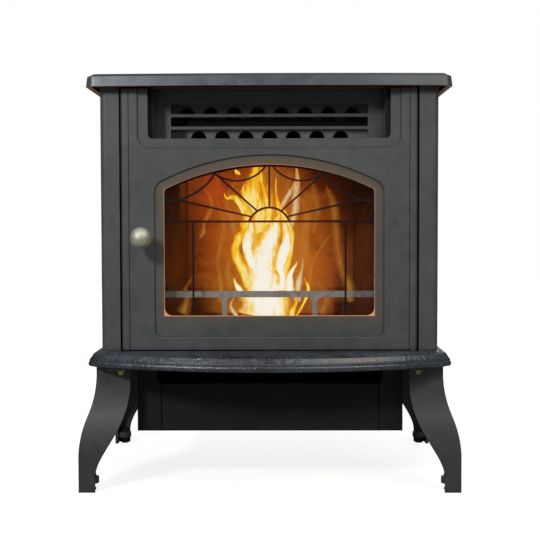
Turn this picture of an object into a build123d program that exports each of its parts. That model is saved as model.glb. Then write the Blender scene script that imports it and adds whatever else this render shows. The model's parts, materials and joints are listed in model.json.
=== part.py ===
from build123d import *
import math
import os

# A free-standing pellet stove on four flared legs. Millimetres, +Z up, +X to the viewer's right.
# The working frame has y = 0 at the front plane of the sheet body and +y towards the wall behind.
# Every piece is shifted at the end so that the origin lies on the floor under the middle of the box.

# ---- driving sizes -------------------------------------------------------------------------------
# Sheet body
BODY_W = 606.0
BODY_D = 418.0
BODY_H = 484.0
BODY_CORNER_R = 11.0
SHEET = 2.0
RETURN_W = 34.8

# Top plate: a casting that laps over the body
TOP_OVERHANG = 22.5
TOP_FRONT_OVERHANG = 30.0
BACK_OVERHANG = 12.0
TOP_THICK = 23.0
TOP_WEB = 10.0
TOP_BOW = 9.0
TOP_CORNER_R = 17.0
TOP_TAPER = 8.0
TOP_BEVEL_W = 11.0
TOP_BEVEL_H = 5.5
TOP_LIP = 10.0

# Base plate: bowed front, clipped corners, ogee edge
BASE_TOP = 251.0
BASE_THICK = 28.0
BASE_OVERHANG = 23.0
BASE_BOW = 95.0
BASE_CORNER_OUT = 22.0
BASE_CLIP = 19.0
BASE_BEAD = 11.0
BASE_RIDGE = 3.8
BASE_RIDGE_IN = 1.8
BASE_UPPER_IN = 4.0
BASE_COVE_W = 7.4
BASE_COVE_H = 12.5
BASE_SLOPE_W = 8.0
BASE_SLOPE_RUN = 5.8

# Legs
LEG_TOP_W = 61.0
LEG_INSET = 14.0
LEG_FRONT_Y = -2.0
LEG_REAR_INSET = 30.0
LEG_FLARE = 29.0
LEG_WALL = 6.0
FOOT_W = 29.0
LEG_BEND_DROP = 13.0
LEG_SWEEP_DROP = 28.0
LEG_BEND_LOW = 60.0

# Fire door
SIDE_GAP = 1.9
DOOR_FACE = -2.0
DOOR_THICK = 8.0
DOOR_BEAD_R = 7.65
DOOR_RECESS = 3.0
DOOR_STEP_BEVEL = 1.3
DOOR_GAP_Z = 1.5
PIN_R = 3.0

# Window and the warm-air notch above it
WINDOW_W = 377.2
WINDOW_SILL = 61.1
WINDOW_SIDE_H = 226.8
WINDOW_RISE = 44.5
WINDOW_R = 14.0
FRAME_R = 9.5
FRAME_BAND = 16.8
FRAME_BAND_BOTTOM = 38.0
OUTLET_W = 434.0
OUTLET_H = 89.3
OUTLET_BORDER = 18.0
OUTLET_R = 9.0

# Sunburst
BURST_BAR = 3.4
BURST_DEPTH = 3.0
BURST_DROP = 57.4
SUN_HALF = 36.0
SUN_RISE = 25.0
STILE_X = 137.0

# Glass, tape and rope
GLASS = 5.0
GLASS_LAP = 7.5
TAPE = 1.8
ROPE_W = 9.0
ROPE_D = 8.0
ROPE_OUT = 22.4
ROPE_ABOVE = 24.1

# Front plate and firebox
FRONT_SHEET = 3.0
FIREBOX_WALL = 3.0
FIREBOX_TAPER = 38.5
FIREBOX_BACK = 268.0
FIREBOX_LIFT = 8.0
FIREBOX_HEADROOM = 17.0
DEFLECTOR_GAP = 24.0
DEFLECTOR_LAP = 8.0
SHELF_DROP = 13.2
TUBE_SHEET_Y = 100.0

# Heat-exchanger tubes
TUBE_OD = 32.0
TUBE_WALL = 1.5
TUBE_PITCH = 44.4
TUBE_ROW_STEP = 45.0
TUBE_HEADROOM = 15.5
TUBES_TOP = 8
BAFFLE_DROP = 18.5
LINER = 8.0
LINER_LIFT = 88.0
LINER_COURSE = 41.0
LINER_BRICK = 80.0

# Louvre
LOUVRE_Y = 52.0
LOUVRE_IN = 6.0
LOUVRE_HEADROOM = 10.0
SLOT_W = 361.0
SLOT_R = 2.4
SLOT_H = 17.0
SLOT_BAR = 5.8
SLOT_DROP = 38.0

# Fire guard and burn pot
GUARD_SILL = 31.0
GUARD_H = 11.4
GUARD_Y = 34.0
GUARD_POST_X = 82.5
POT_Y = 150.0
POT_W = 110.0
POT_D = 100.0
POT_H = 41.0
POT_WALL = 5.0

# Auger feed
AUGER_ANGLE = 50.0
AUGER_BORE_R = 27.0
AUGER_R = 24.0
AUGER_SHAFT_R = 7.0
AUGER_PITCH = 38.0
AUGER_LEN = 130.0
FLIGHT_THICK = 2.5
FLIGHT_STEPS = 12
AUGER_MOUTH_LIFT = 198.0

# Hopper
HOPPER_W = 360.0
HOPPER_PLENUM = 32.0
HOPPER_REAR = 14.0
HOPPER_BIN_H = 175.0
HOPPER_THROAT = 50.0
HOPPER_SHEET = 1.5

# Flue and outside air
EXHAUST_X = 150.0
EXHAUST_R = 38.0
EXHAUST_LIFT = 54.0
EXHAUST_OUT = 50.0
INTAKE_X = -75.0
INTAKE_R = 25.0
INTAKE_LIFT = 41.0
INTAKE_OUT = 40.0
SWAGE = 0.5

# Blowers
FAN_BEHIND = 70.0
FLUE_FAN_LIFT = 20.0
FLUE_FAN_R = 48.0
FLUE_HALF_W = 32.0
SCROLL_WALL = 3.0
MOTOR_SHAFT_R = 4.0
DUCT_W = 36.0
DUCT_H = 50.0
ROOM_FAN_INSET = 103.0
ROOM_FAN_LIFT = 85.0
ROOM_FAN_R = 44.0
ROOM_HALF_W = 38.0
ROOM_SCROLL_R = 55.0

# Controls, power inlet and air slots
CONTROL_REAR = 28.0
CONTROL_D = 90.0
CONTROL_DROP = 45.0
CONTROL_H = 130.0
DIAL_INSET = 37.0
DIAL_R = 15.0
VENT_INSET = 123.0
VENT_LIFT = 31.0
VENT_HALF_W = 23.0
VENT_STEP = 28.0
INLET_INSET = 33.0
INLET_LIFT = 39.0

# Ash box and drawer
ASH_W = 488.0
ASH_FRONT = 40.0
ASH_REAR = 18.0
ASH_H = 125.0
DRAWER_MARGIN = 45.0
DRAWER_FRONT_H = 87.0
TRAY_MARGIN = 9.0
TRAY_H = 52.0

# Knob and latch
KNOB_INSET = 41.0
KNOB_LIFT = 202.0
KNOB_R = 19.0
KNOB_OUT = 40.0
NECK_R = 6.5
LATCH_R = 5.0

# ---- clearances ----------------------------------------------------------------------------------
RUN = 0.05
SEAT = 0.3
SLIDE = 1.0

# ---- sizes that follow ---------------------------------------------------------------------------
HALF_W = BODY_W / 2
BODY_TOP = BASE_TOP + BODY_H
BASE_BOTTOM = BASE_TOP - BASE_THICK
TOP_Z = BODY_TOP + TOP_WEB
TOP_LIP_Z = TOP_Z - TOP_THICK
TOP_HALF_W = HALF_W + TOP_OVERHANG
TOP_FRONT = -TOP_FRONT_OVERHANG
TOP_BACK = BODY_D + BACK_OVERHANG
BASE_HALF_W = HALF_W + BASE_OVERHANG
BASE_CORNER_Y = -BASE_CORNER_OUT
BASE_BACK = BODY_D + BACK_OVERHANG
LEG_OUT_X = BASE_HALF_W - LEG_INSET
LEG_REAR_Y = BASE_BACK - LEG_REAR_INSET
LEG_BEND_TOP = BASE_BOTTOM - LEG_BEND_DROP
LEG_SWEEP_TOP = BASE_BOTTOM - LEG_SWEEP_DROP

RETURN_X = HALF_W - RETURN_W
DOOR_HALF_W = RETURN_X - SIDE_GAP
DOOR_BACK = DOOR_FACE + DOOR_THICK
DOOR_BOTTOM = BASE_TOP + DOOR_GAP_Z
DOOR_TOP = TOP_LIP_Z - DOOR_GAP_Z
BEAD_X = DOOR_HALF_W - DOOR_BEAD_R
BEAD_Y = DOOR_FACE + DOOR_BEAD_R
WINDOW_HALF_W = WINDOW_W / 2
WINDOW_BOTTOM = DOOR_BOTTOM + WINDOW_SILL
WINDOW_SHOULDER = WINDOW_BOTTOM + WINDOW_SIDE_H
OUTLET_HALF_W = OUTLET_W / 2
OUTLET_BOTTOM = DOOR_TOP - OUTLET_H
BURST_RAIL_Z = WINDOW_SHOULDER - BURST_DROP

FRONT_Y = DOOR_BACK + ROPE_D + SEAT
FRONT_BACK = FRONT_Y + FRONT_SHEET
ROPE_HALF_W = WINDOW_HALF_W + ROPE_OUT
ROPE_BOTTOM = WINDOW_BOTTOM - ROPE_OUT - 1.2
ROPE_TOP = WINDOW_SHOULDER + WINDOW_RISE + ROPE_ABOVE
MOUTH_HALF_W = ROPE_HALF_W - ROPE_W / 2 - 1.0
MOUTH_BOTTOM = ROPE_BOTTOM + ROPE_W / 2 + 1.0
MOUTH_TOP = ROPE_TOP - ROPE_W / 2 - 1.0

FIREBOX_FRONT_HALF = MOUTH_HALF_W + FIREBOX_WALL
FIREBOX_BACK_HALF = FIREBOX_FRONT_HALF - FIREBOX_TAPER
FIREBOX_FLOOR = BASE_TOP + FIREBOX_LIFT
FLOOR_Z = FIREBOX_FLOOR + FIREBOX_WALL
FIREBOX_TOP = BODY_TOP - FIREBOX_HEADROOM
SHELF_Z = OUTLET_BOTTOM - SHELF_DROP
TUBE_ROW_TOP = FIREBOX_TOP - FIREBOX_WALL - TUBE_OD / 2 - TUBE_HEADROOM
TUBE_ROW_LOW = TUBE_ROW_TOP - TUBE_ROW_STEP
BAFFLE_Z = TUBE_ROW_LOW - TUBE_OD / 2 - BAFFLE_DROP
LOUVRE_HALF_W = OUTLET_HALF_W - LOUVRE_IN
SLOT_HALF_W = SLOT_W / 2
SLOT_TOP = BODY_TOP - SLOT_DROP
GUARD_Z = WINDOW_BOTTOM + GUARD_SILL

AUGER_TUBE_R = AUGER_BORE_R + FIREBOX_WALL
AUGER_MOUTH_Z = FLOOR_Z + AUGER_MOUTH_LIFT
HOPPER_HALF_W = HOPPER_W / 2
HOPPER_FRONT = FIREBOX_BACK + HOPPER_PLENUM
HOPPER_BACK = BODY_D - HOPPER_REAR
HOPPER_KNEE_Z = BODY_TOP - HOPPER_BIN_H

FAN_Y = FIREBOX_BACK + FAN_BEHIND
EXHAUST_Z = BASE_TOP + EXHAUST_LIFT
INTAKE_Z = BASE_TOP + INTAKE_LIFT
FLUE_FAN_Z = EXHAUST_Z + FLUE_FAN_LIFT
DUCT_X = (EXHAUST_X - FLUE_HALF_W + 2 - DUCT_W, EXHAUST_X - FLUE_HALF_W + 2)
DUCT_Z = (FLUE_FAN_Z + 17 - DUCT_H, FLUE_FAN_Z + 17)
IGNITER_X = 25.0
IGNITER_Z = FLOOR_Z + 18.0
ROOM_FAN_X = ROOM_FAN_INSET - HALF_W
ROOM_FAN_Z = BASE_TOP + ROOM_FAN_LIFT

CONTROL_Y = (BODY_D - CONTROL_REAR - CONTROL_D, BODY_D - CONTROL_REAR)
CONTROL_Z = (BODY_TOP - CONTROL_DROP - CONTROL_H, BODY_TOP - CONTROL_DROP)
DIAL_Y = sum(CONTROL_Y) / 2
DIAL_Z = (CONTROL_Z[0] + DIAL_INSET, CONTROL_Z[1] - DIAL_INSET)
VENT_X = VENT_INSET - HALF_W
VENT_Z = BASE_TOP + VENT_LIFT
INLET_AT = (INLET_INSET - HALF_W, BASE_TOP + INLET_LIFT)

ASH_HALF_W = ASH_W / 2
ASH_BACK = BODY_D - ASH_REAR
ASH_BOTTOM = BASE_BOTTOM - ASH_H
DRAWER_HALF_W = ASH_HALF_W - DRAWER_MARGIN
DRAWER_TOP = ASH_BOTTOM + DRAWER_FRONT_H
TRAY_HALF_W = DRAWER_HALF_W - TRAY_MARGIN
TRAY_TOP = ASH_BOTTOM + TRAY_H
KNOB_X = KNOB_INSET - DOOR_HALF_W
KNOB_Z = DOOR_BOTTOM + KNOB_LIFT

BACK_OUT = BODY_D + EXHAUST_OUT
Y_MIDDLE = (BACK_OUT - BASE_BOW) / 2


# ---- helpers -------------------------------------------------------------------------------------
def block(x0, x1, y0, y1, z0, z1):
    """A box between two opposite corners."""
    middle = ((x0 + x1) / 2, (y0 + y1) / 2, (z0 + z1) / 2)
    return Pos(*middle) * Box(x1 - x0, y1 - y0, z1 - z0)


def rod_x(radius, x0, x1, y, z):
    return Pos((x0 + x1) / 2, y, z) * Rot(0, 90, 0) * Cylinder(radius, x1 - x0)


def rod_y(radius, x, y0, y1, z):
    return Pos(x, (y0 + y1) / 2, z) * Rot(90, 0, 0) * Cylinder(radius, y1 - y0)


def rod_z(radius, x, y, z0, z1):
    return Pos(x, y, (z0 + z1) / 2) * Cylinder(radius, z1 - z0)


def upright(sketch, y0, y1):
    """An outline drawn in X and Z, seen from the front, as a slab from y0 back to y1."""
    plane = Plane(origin=(0, y0, 0), x_dir=(1, 0, 0), z_dir=(0, -1, 0))
    return extrude(plane * sketch, amount=y1 - y0, dir=(0, 1, 0))


def flat(sketch, z0, z1):
    """An outline drawn in X and Y as a slab from z0 up to z1."""
    return extrude(Pos(0, 0, z0) * sketch, amount=z1 - z0)


def arched(grow=0.0, grow_bottom=None, radius=WINDOW_R):
    """The door window: square foot with rounded corners and a flat arch on top, grown all round."""
    bottom = WINDOW_BOTTOM - (grow if grow_bottom is None else grow_bottom)
    half = WINDOW_HALF_W + grow
    shoulder = WINDOW_SHOULDER + grow / 2
    apex = WINDOW_SHOULDER + WINDOW_RISE + grow
    sides = Polyline((-half, shoulder), (-half, bottom), (half, bottom), (half, shoulder))
    crown = ThreePointArc((half, shoulder), (0, apex), (-half, shoulder))
    face = make_face(sides.edges() + crown.edges())
    face = fillet(face.vertices().sort_by(Axis.Y)[:2], radius)
    return fillet(face.vertices().sort_by(Axis.Y)[-2:], WINDOW_R / 2 + grow)


def box_outline(half, bottom, top, radius):
    """A rectangle about x = 0 with all corners rounded."""
    return Pos(0, (bottom + top) / 2) * RectangleRounded(2 * half, top - bottom, radius)


def open_top(half, bottom, radius):
    """The outline of an opening that runs up past the door's top edge, with rounded lower corners."""
    high = DOOR_TOP + 40
    return box_outline(half, bottom, high, radius)


def save(name, *solids):
    """Write one node, moved so that the origin is under the middle of the overall box."""
    moved = [Pos(0, -Y_MIDDLE, 0) * s for shape in solids for s in shape.solids()]
    shape = moved[0] if len(moved) == 1 else Compound(children=moved)
    export_step(shape, f"parts/{name}.step")


# ---- cast top plate and lid ----------------------------------------------------------------------
HINGE_Y = TOP_BACK - 11.0
HINGE_Z = TOP_Z + 6.0
LID_HALF_W = HOPPER_HALF_W + 10.0
LID_FRONT = HOPPER_FRONT - 10.0
LID_BACK = HOPPER_BACK + 8.0
LID_Z = TOP_Z + 3.0 + SEAT
LID_THICK = 8.0
BARREL_R = 5.0
BARREL_X = (112.0, 148.0)


def top_outline(inset):
    """Straight sides and back, a front that bows out a little, and rounded corners."""
    corner_y = TOP_FRONT + TOP_BOW
    sides = Polyline((TOP_HALF_W, corner_y), (TOP_HALF_W, TOP_BACK), (-TOP_HALF_W, TOP_BACK),
                     (-TOP_HALF_W, corner_y))
    bow = ThreePointArc((TOP_HALF_W, corner_y), (0, TOP_FRONT), (-TOP_HALF_W, corner_y))
    face = make_face(sides.edges() + bow.edges())
    face = fillet(face.vertices(), TOP_CORNER_R)
    return face if inset == 0 else offset(face, amount=-inset)


def top_plate():
    """A hollow casting: leaning edge, broad bevel above it, lip below, and the hopper's mouth."""
    plate = extrude(Pos(0, 0, TOP_LIP_Z) * top_outline(0), amount=TOP_THICK, taper=TOP_TAPER)
    rim = plate.faces().sort_by(Axis.Z)[-1]
    plate = chamfer(rim.edges(), TOP_BEVEL_W, TOP_BEVEL_H, reference=rim)
    plate -= flat(top_outline(TOP_LIP), TOP_LIP_Z, BODY_TOP)
    boss = rod_z(PIN_R + 5, BEAD_X, BEAD_Y, DOOR_TOP + 2, BODY_TOP)
    plate += boss
    plate -= rod_z(PIN_R + RUN, BEAD_X, BEAD_Y, DOOR_TOP, BODY_TOP - 2)
    mouth_w = 2 * (HOPPER_HALF_W - 2)
    mouth_d = HOPPER_BACK - HOPPER_FRONT - 4
    mouth = Pos(0, (HOPPER_FRONT + HOPPER_BACK) / 2) * RectangleRounded(mouth_w, mouth_d, 6)
    return plate - flat(mouth, BODY_TOP - 1, TOP_Z + 1)


def hopper_gasket():
    middle = (LID_FRONT + LID_BACK) / 2
    outer = RectangleRounded(2 * LID_HALF_W - 6, LID_BACK - LID_FRONT - 6, 8)
    inner = RectangleRounded(2 * LID_HALF_W - 22, LID_BACK - LID_FRONT - 18, 5)
    return flat(Pos(0, middle) * (outer - inner), TOP_Z, TOP_Z + 3.0)


def hopper_lid():
    middle = (LID_FRONT + LID_BACK) / 2
    outline = Pos(0, middle) * RectangleRounded(2 * LID_HALF_W, LID_BACK - LID_FRONT, 10)
    lid = flat(outline, LID_Z, LID_Z + LID_THICK)
    lid = fillet(lid.faces().sort_by(Axis.Z)[-1].edges(), 3)
    field = Pos(0, middle) * RectangleRounded(2 * LID_HALF_W - 40, LID_BACK - LID_FRONT - 40, 6)
    lid -= flat(field, LID_Z + LID_THICK - 1.5, LID_Z + LID_THICK)
    grip = block(-45, 45, LID_FRONT - 12, LID_FRONT + 2, LID_Z, LID_Z + 5)
    lid += fillet(grip.edges().filter_by(Axis.Z).sort_by(Axis.Y)[:2], 8)
    for side in (-1, 1):
        x0, x1 = sorted((side * BARREL_X[0], side * BARREL_X[1]))
        lid += block(x0, x1, LID_BACK - 2, HINGE_Y, HINGE_Z - 1.5, HINGE_Z + 3.5)
        lid += rod_x(BARREL_R, x0, x1, HINGE_Y, HINGE_Z)
        lid -= rod_x(2.5 + RUN, x0 - 1, x1 + 1, HINGE_Y, HINGE_Z)
    return lid


def lid_hinge_brackets():
    ears = []
    for side in (-1, 1):
        for inner in (BARREL_X[0] - 5, BARREL_X[1] + 1):
            x0, x1 = sorted((side * inner, side * (inner + 4)))
            ear = block(x0, x1, HINGE_Y - 5, HINGE_Y + 5, TOP_Z, HINGE_Z)
            ear += rod_x(BARREL_R, x0, x1, HINGE_Y, HINGE_Z)
            ears.append(ear - rod_x(2.5, x0 - 1, x1 + 1, HINGE_Y, HINGE_Z))
    return ears


def lid_hinge_pins():
    pins = []
    for side in (-1, 1):
        x0, x1 = sorted((side * (BARREL_X[0] - 5), side * (BARREL_X[1] + 5)))
        head = side * (BARREL_X[1] + 6.5)
        h0, h1 = sorted((side * (BARREL_X[1] + 5), head))
        pins.append(rod_x(2.5, x0, x1, HINGE_Y, HINGE_Z) + rod_x(4, h0, h1, HINGE_Y, HINGE_Z))
    return pins


# ---- cast base plate and legs --------------------------------------------------------------------
ASH_PORT = (140.0, 45.0, 105.0)


def base_outline(inset):
    corner_x = BASE_HALF_W - BASE_CLIP
    start = (corner_x, BASE_CORNER_Y)
    sides = Polyline(
        start, (BASE_HALF_W, BASE_CORNER_Y + BASE_CLIP), (BASE_HALF_W, BASE_BACK),
        (-BASE_HALF_W, BASE_BACK), (-BASE_HALF_W, BASE_CORNER_Y + BASE_CLIP), (-corner_x, BASE_CORNER_Y))
    bow = ThreePointArc(start, (0, -BASE_BOW), (-corner_x, BASE_CORNER_Y))
    face = make_face(sides.edges() + bow.edges())
    return face if inset == 0 else offset(face, amount=-inset)


def base_plate():
    """Ogee edge: a round bead below, a thin ridge, a steep cove and a shallow slope up to the top."""
    bead = flat(base_outline(0), BASE_BOTTOM, BASE_BOTTOM + BASE_BEAD)
    bead = fillet(bead.faces().filter_by(Axis.Z).edges(), BASE_BEAD * 0.4)
    ridge_top = BASE_BOTTOM + BASE_BEAD + BASE_RIDGE
    ridge = flat(base_outline(BASE_RIDGE_IN), BASE_BOTTOM + 1, ridge_top)
    ridge = chamfer(ridge.faces().sort_by(Axis.Z)[-1].edges(), 1.2)
    upper = flat(base_outline(BASE_UPPER_IN), BASE_BOTTOM + 2, BASE_TOP)
    rim = upper.faces().sort_by(Axis.Z)[-1]
    upper = chamfer(rim.edges(), BASE_COVE_W, BASE_COVE_H, reference=rim)
    rim = upper.faces().sort_by(Axis.Z)[-1]
    upper = chamfer(rim.edges(), BASE_SLOPE_W, BASE_SLOPE_RUN, reference=rim)
    plate = bead + ridge + upper
    plate -= rod_z(PIN_R + RUN, BEAD_X, BEAD_Y, BASE_TOP - 12, BASE_TOP + 1)
    half, y0, y1 = ASH_PORT
    plate -= block(-half, half, y0, y1, BASE_BOTTOM - 1, BASE_TOP + 1)
    for x, y in leg_bolt_places():
        plate -= rod_z(4.0, x, y, BASE_BOTTOM - 1, BASE_BOTTOM + 16)
    return plate


def leg_profile():
    """The leg seen square on, filled inwards: its outer edge is an S of two equal arcs."""
    toe_x = LEG_OUT_X + LEG_FLARE
    middle = ((LEG_OUT_X + toe_x) / 2, (LEG_BEND_TOP + LEG_BEND_LOW) / 2)
    lower = TangentArc((toe_x, LEG_BEND_LOW), middle, tangent=(0, 1))
    upper = TangentArc(middle, (LEG_OUT_X, LEG_BEND_TOP), tangent=lower % 1)
    heart_x = LEG_OUT_X - 200.0
    rest = Polyline((LEG_OUT_X, LEG_BEND_TOP), (LEG_OUT_X, BASE_BOTTOM), (heart_x, BASE_BOTTOM),
                    (heart_x, 0), (toe_x, 0), (toe_x, LEG_BEND_LOW))
    return make_face(lower.edges() + upper.edges() + rest.edges())


def leg_silhouette():
    inner = LEG_OUT_X - LEG_TOP_W
    foot = LEG_OUT_X + LEG_FLARE - FOOT_W
    sweep_in = Bezier((inner, LEG_SWEEP_TOP), (inner, LEG_SWEEP_TOP - 90), (foot, 70), (foot, 25))
    rest = Polyline((foot, 25), (foot, 0), (foot + 120, 0), (foot + 120, BASE_BOTTOM),
                    (inner, BASE_BOTTOM), (inner, LEG_SWEEP_TOP))
    return make_face(sweep_in.edges() + rest.edges())


DIAGONAL = Plane.YZ.rotated((0, 0, -45))
LEG_INNER_X = LEG_OUT_X - LEG_TOP_W
LEVEL_X = LEG_OUT_X + LEG_FLARE - 20.0


def square_view(sketch, reach):
    """The outline drawn across the width, as a long bar along Y in the leg's own corner frame."""
    plane = Plane(origin=(0, 0, 0), x_dir=(1, 0, 0), z_dir=(0, -1, 0))
    return extrude(plane * sketch, amount=reach, both=True)


def leg():
    """One corner leg about its own diagonal: the same curves are used across X and across Y."""
    outside = square_view(leg_profile(), 500)
    both = outside & mirror(outside, about=DIAGONAL)
    inside = Pos(-LEG_WALL, -LEG_WALL, 0) * both
    shell = both - inside
    front = square_view(leg_silhouette(), 500)
    shell = shell & front & mirror(front, about=DIAGONAL)
    pad = block(LEG_INNER_X, LEG_OUT_X - 1, LEG_INNER_X, LEG_OUT_X - 1, BASE_BOTTOM - 5, BASE_BOTTOM)
    ear = block(LEG_INNER_X, LEG_INNER_X + 40, LEG_OUT_X - 1, LEG_OUT_X + 22, BASE_BOTTOM - 5, BASE_BOTTOM)
    ear = fillet(ear.edges().filter_by(Axis.Z).sort_by(Axis.Y)[-2:], 8)
    web_out = LEG_OUT_X + LEG_FLARE - 2
    web = block(web_out - 22, web_out, web_out - 22, web_out, 14, 25)
    web += rod_z(13.5, LEVEL_X, LEVEL_X, 14, 25) & block(LEG_INNER_X, web_out, LEG_INNER_X, web_out, 0, 40)
    shell += pad + ear + web
    for x, y in LEG_HOLES:
        shell -= rod_z(4.2, x, y, BASE_BOTTOM - 6, BASE_BOTTOM + 1)
    return shell - rod_z(4.0 + RUN, LEVEL_X, LEVEL_X, 0, 40)


LEG_HOLES = ((LEG_INNER_X + 14.0, LEG_OUT_X + 12.0), (LEG_INNER_X + 34.0, LEG_OUT_X - 34.0))


def leg_frames():
    """Where the corner leg goes: its name, and its placing from the corner frame."""
    front = LEG_FRONT_Y + LEG_OUT_X
    rear = LEG_REAR_Y - LEG_OUT_X
    return (("leg_front_right", 1, -1, front), ("leg_front_left", -1, -1, front),
            ("leg_rear_right", 1, 1, rear), ("leg_rear_left", -1, 1, rear))


def place_leg(shape, sx, sy, shift):
    if sx < 0:
        shape = mirror(shape, about=Plane.YZ)
    if sy < 0:
        shape = mirror(shape, about=Plane.XZ)
    return Pos(0, shift, 0) * shape


def leg_bolt_places():
    places = []
    for name, sx, sy, shift in leg_frames():
        places += [(sx * x, sy * y + shift) for x, y in LEG_HOLES]
    return places


def hex_bolt(x, y, z, across, head, shank_r, length):
    """A hex bolt driven upwards, its washer against z."""
    bolt = rod_z(10.5 * across / 13, x, y, z - 1.6, z)
    bolt += Pos(x, y, z - 1.6 - head) * extrude(RegularPolygon(across / 2, 6, major_radius=False), head)
    return bolt + rod_z(shank_r, x, y, z - 1, z + length)


def leg_bolts():
    return [hex_bolt(x, y, BASE_BOTTOM - 5, 13, 6, 4.0, 20) for x, y in leg_bolt_places()]


def levelling_bolts():
    bolts = []
    for name, sx, sy, shift in leg_frames():
        x, y = sx * LEVEL_X, sy * LEVEL_X + shift
        bolt = rod_z(4.0, x, y, 3, 38) + rod_z(8, x, y, 1.5, 5)
        nut = Pos(x, y, 25) * extrude(RegularPolygon(7.5, 6, major_radius=False), 6)
        bolts.append(bolt + nut)
    return bolts


# ---- sheet body ----------------------------------------------------------------------------------
def side_panel():
    """The right-hand sheet: hem, front return, round corner, side and rear flange, as one bent strip."""
    inside = HALF_W - SHEET
    hem = block(RETURN_X, RETURN_X + SHEET, 0, FRONT_Y, BASE_TOP, BODY_TOP)
    wrap = Pos(0, BODY_D / 2) * Rectangle(2 * HALF_W, BODY_D)
    wrap = fillet(wrap.vertices().sort_by(Axis.Y)[:2], BODY_CORNER_R)
    core = Pos(0, BODY_D / 2) * Rectangle(2 * inside, BODY_D - 2 * SHEET)
    core = fillet(core.vertices().sort_by(Axis.Y)[:2], BODY_CORNER_R - SHEET)
    skin = flat(wrap - core, BASE_TOP, BODY_TOP)
    front = skin & block(RETURN_X, HALF_W + 1, -1, BODY_D / 2, BASE_TOP, BODY_TOP)
    side = skin & block(inside - 15, HALF_W + 1, BODY_D / 2 - 1, BODY_D - SHEET, BASE_TOP, BODY_TOP)
    flange = block(inside - 15, HALF_W, BODY_D - 2 * SHEET, BODY_D - SHEET, BASE_TOP, BODY_TOP)
    panel = hem + front + side + flange
    for x, z in screw_places():
        panel -= rod_y(2.1, x, BODY_D - 5, BODY_D, z)
    return panel


def side_panel_right():
    y0, y1 = CONTROL_Y
    z0, z1 = CONTROL_Z
    return side_panel() - block(HALF_W - 5, HALF_W + 1, y0 + 8, y1 - 8, z0 + 8, z1 - 8)


def back_panel():
    panel = block(-HALF_W, HALF_W, BODY_D - SHEET, BODY_D, BASE_TOP, BODY_TOP)
    panel -= rod_y(EXHAUST_R + SLIDE, EXHAUST_X, BODY_D - 5, BODY_D + 5, EXHAUST_Z)
    panel -= rod_y(INTAKE_R + SLIDE, INTAKE_X, BODY_D - 5, BODY_D + 5, INTAKE_Z)
    x, z = INLET_AT
    panel -= block(x - 14, x + 14, BODY_D - 5, BODY_D + 5, z - 11, z + 11)
    for row in range(8):
        for side in (-1, 1):
            slot = Pos(VENT_X + side * VENT_STEP, VENT_Z + 14 * row + 4) * Rectangle(2 * VENT_HALF_W, 8)
            panel -= upright(slot, BODY_D - 5, BODY_D + 5)
    for x, z in screw_places():
        panel -= rod_y(2.1, x, BODY_D - 5, BODY_D + 5, z)
    return panel


def screw_places():
    heights = (BASE_TOP + 12, BASE_TOP + 175, BODY_TOP - 160, BODY_TOP - 25)
    return [(side * (HALF_W - 10), z) for side in (-1, 1) for z in heights]


def panel_screws():
    screws = []
    for x, z in screw_places():
        head = rod_y(4.0, x, BODY_D, BODY_D + 2.4, z)
        head = chamfer(head.edges().sort_by(Axis.Y)[-1], 1.2)
        screws.append(head + rod_y(2.0, x, BODY_D - 3.5, BODY_D + 1, z))
    return screws


LATCH_SLOT = (8.5, -10.5, 38.0)


def front_frame():
    """The steel plate behind the door: fire mouth below, open notch for warm air above."""
    plate = block(-(HALF_W - SHEET), HALF_W - SHEET, FRONT_Y, FRONT_BACK, BASE_TOP, BODY_TOP)
    mouth = box_outline(MOUTH_HALF_W, MOUTH_BOTTOM, MOUTH_TOP, 26)
    plate -= upright(mouth, FRONT_Y - 1, FRONT_BACK + 1)
    notch = open_top(LOUVRE_HALF_W - 2, OUTLET_BOTTOM - 6, 8)
    plate -= upright(notch, FRONT_Y - 1, FRONT_BACK + 1)
    half, low, high = LATCH_SLOT
    slot = block(KNOB_X - half, KNOB_X + half, FRONT_Y - 1, FRONT_BACK + 1, KNOB_Z + low, KNOB_Z + high)
    return plate - slot


def latch_catch():
    """A ramp riveted behind the front plate, which the cam rides up on as the knob turns."""
    x1 = KNOB_X - LATCH_SLOT[0] - 4
    wedge = block(x1 - 24, x1, FRONT_BACK, FRONT_BACK + 2.0, KNOB_Z - 14, KNOB_Z + 14)
    wedge = chamfer(wedge.edges().filter_by(Axis.X).sort_by(Axis.Z)[-1:], 1.2)
    wedge += rod_y(3.0, x1 - 18, FRONT_BACK + 2, FRONT_BACK + 2.6, KNOB_Z - 9)
    return wedge


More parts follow.
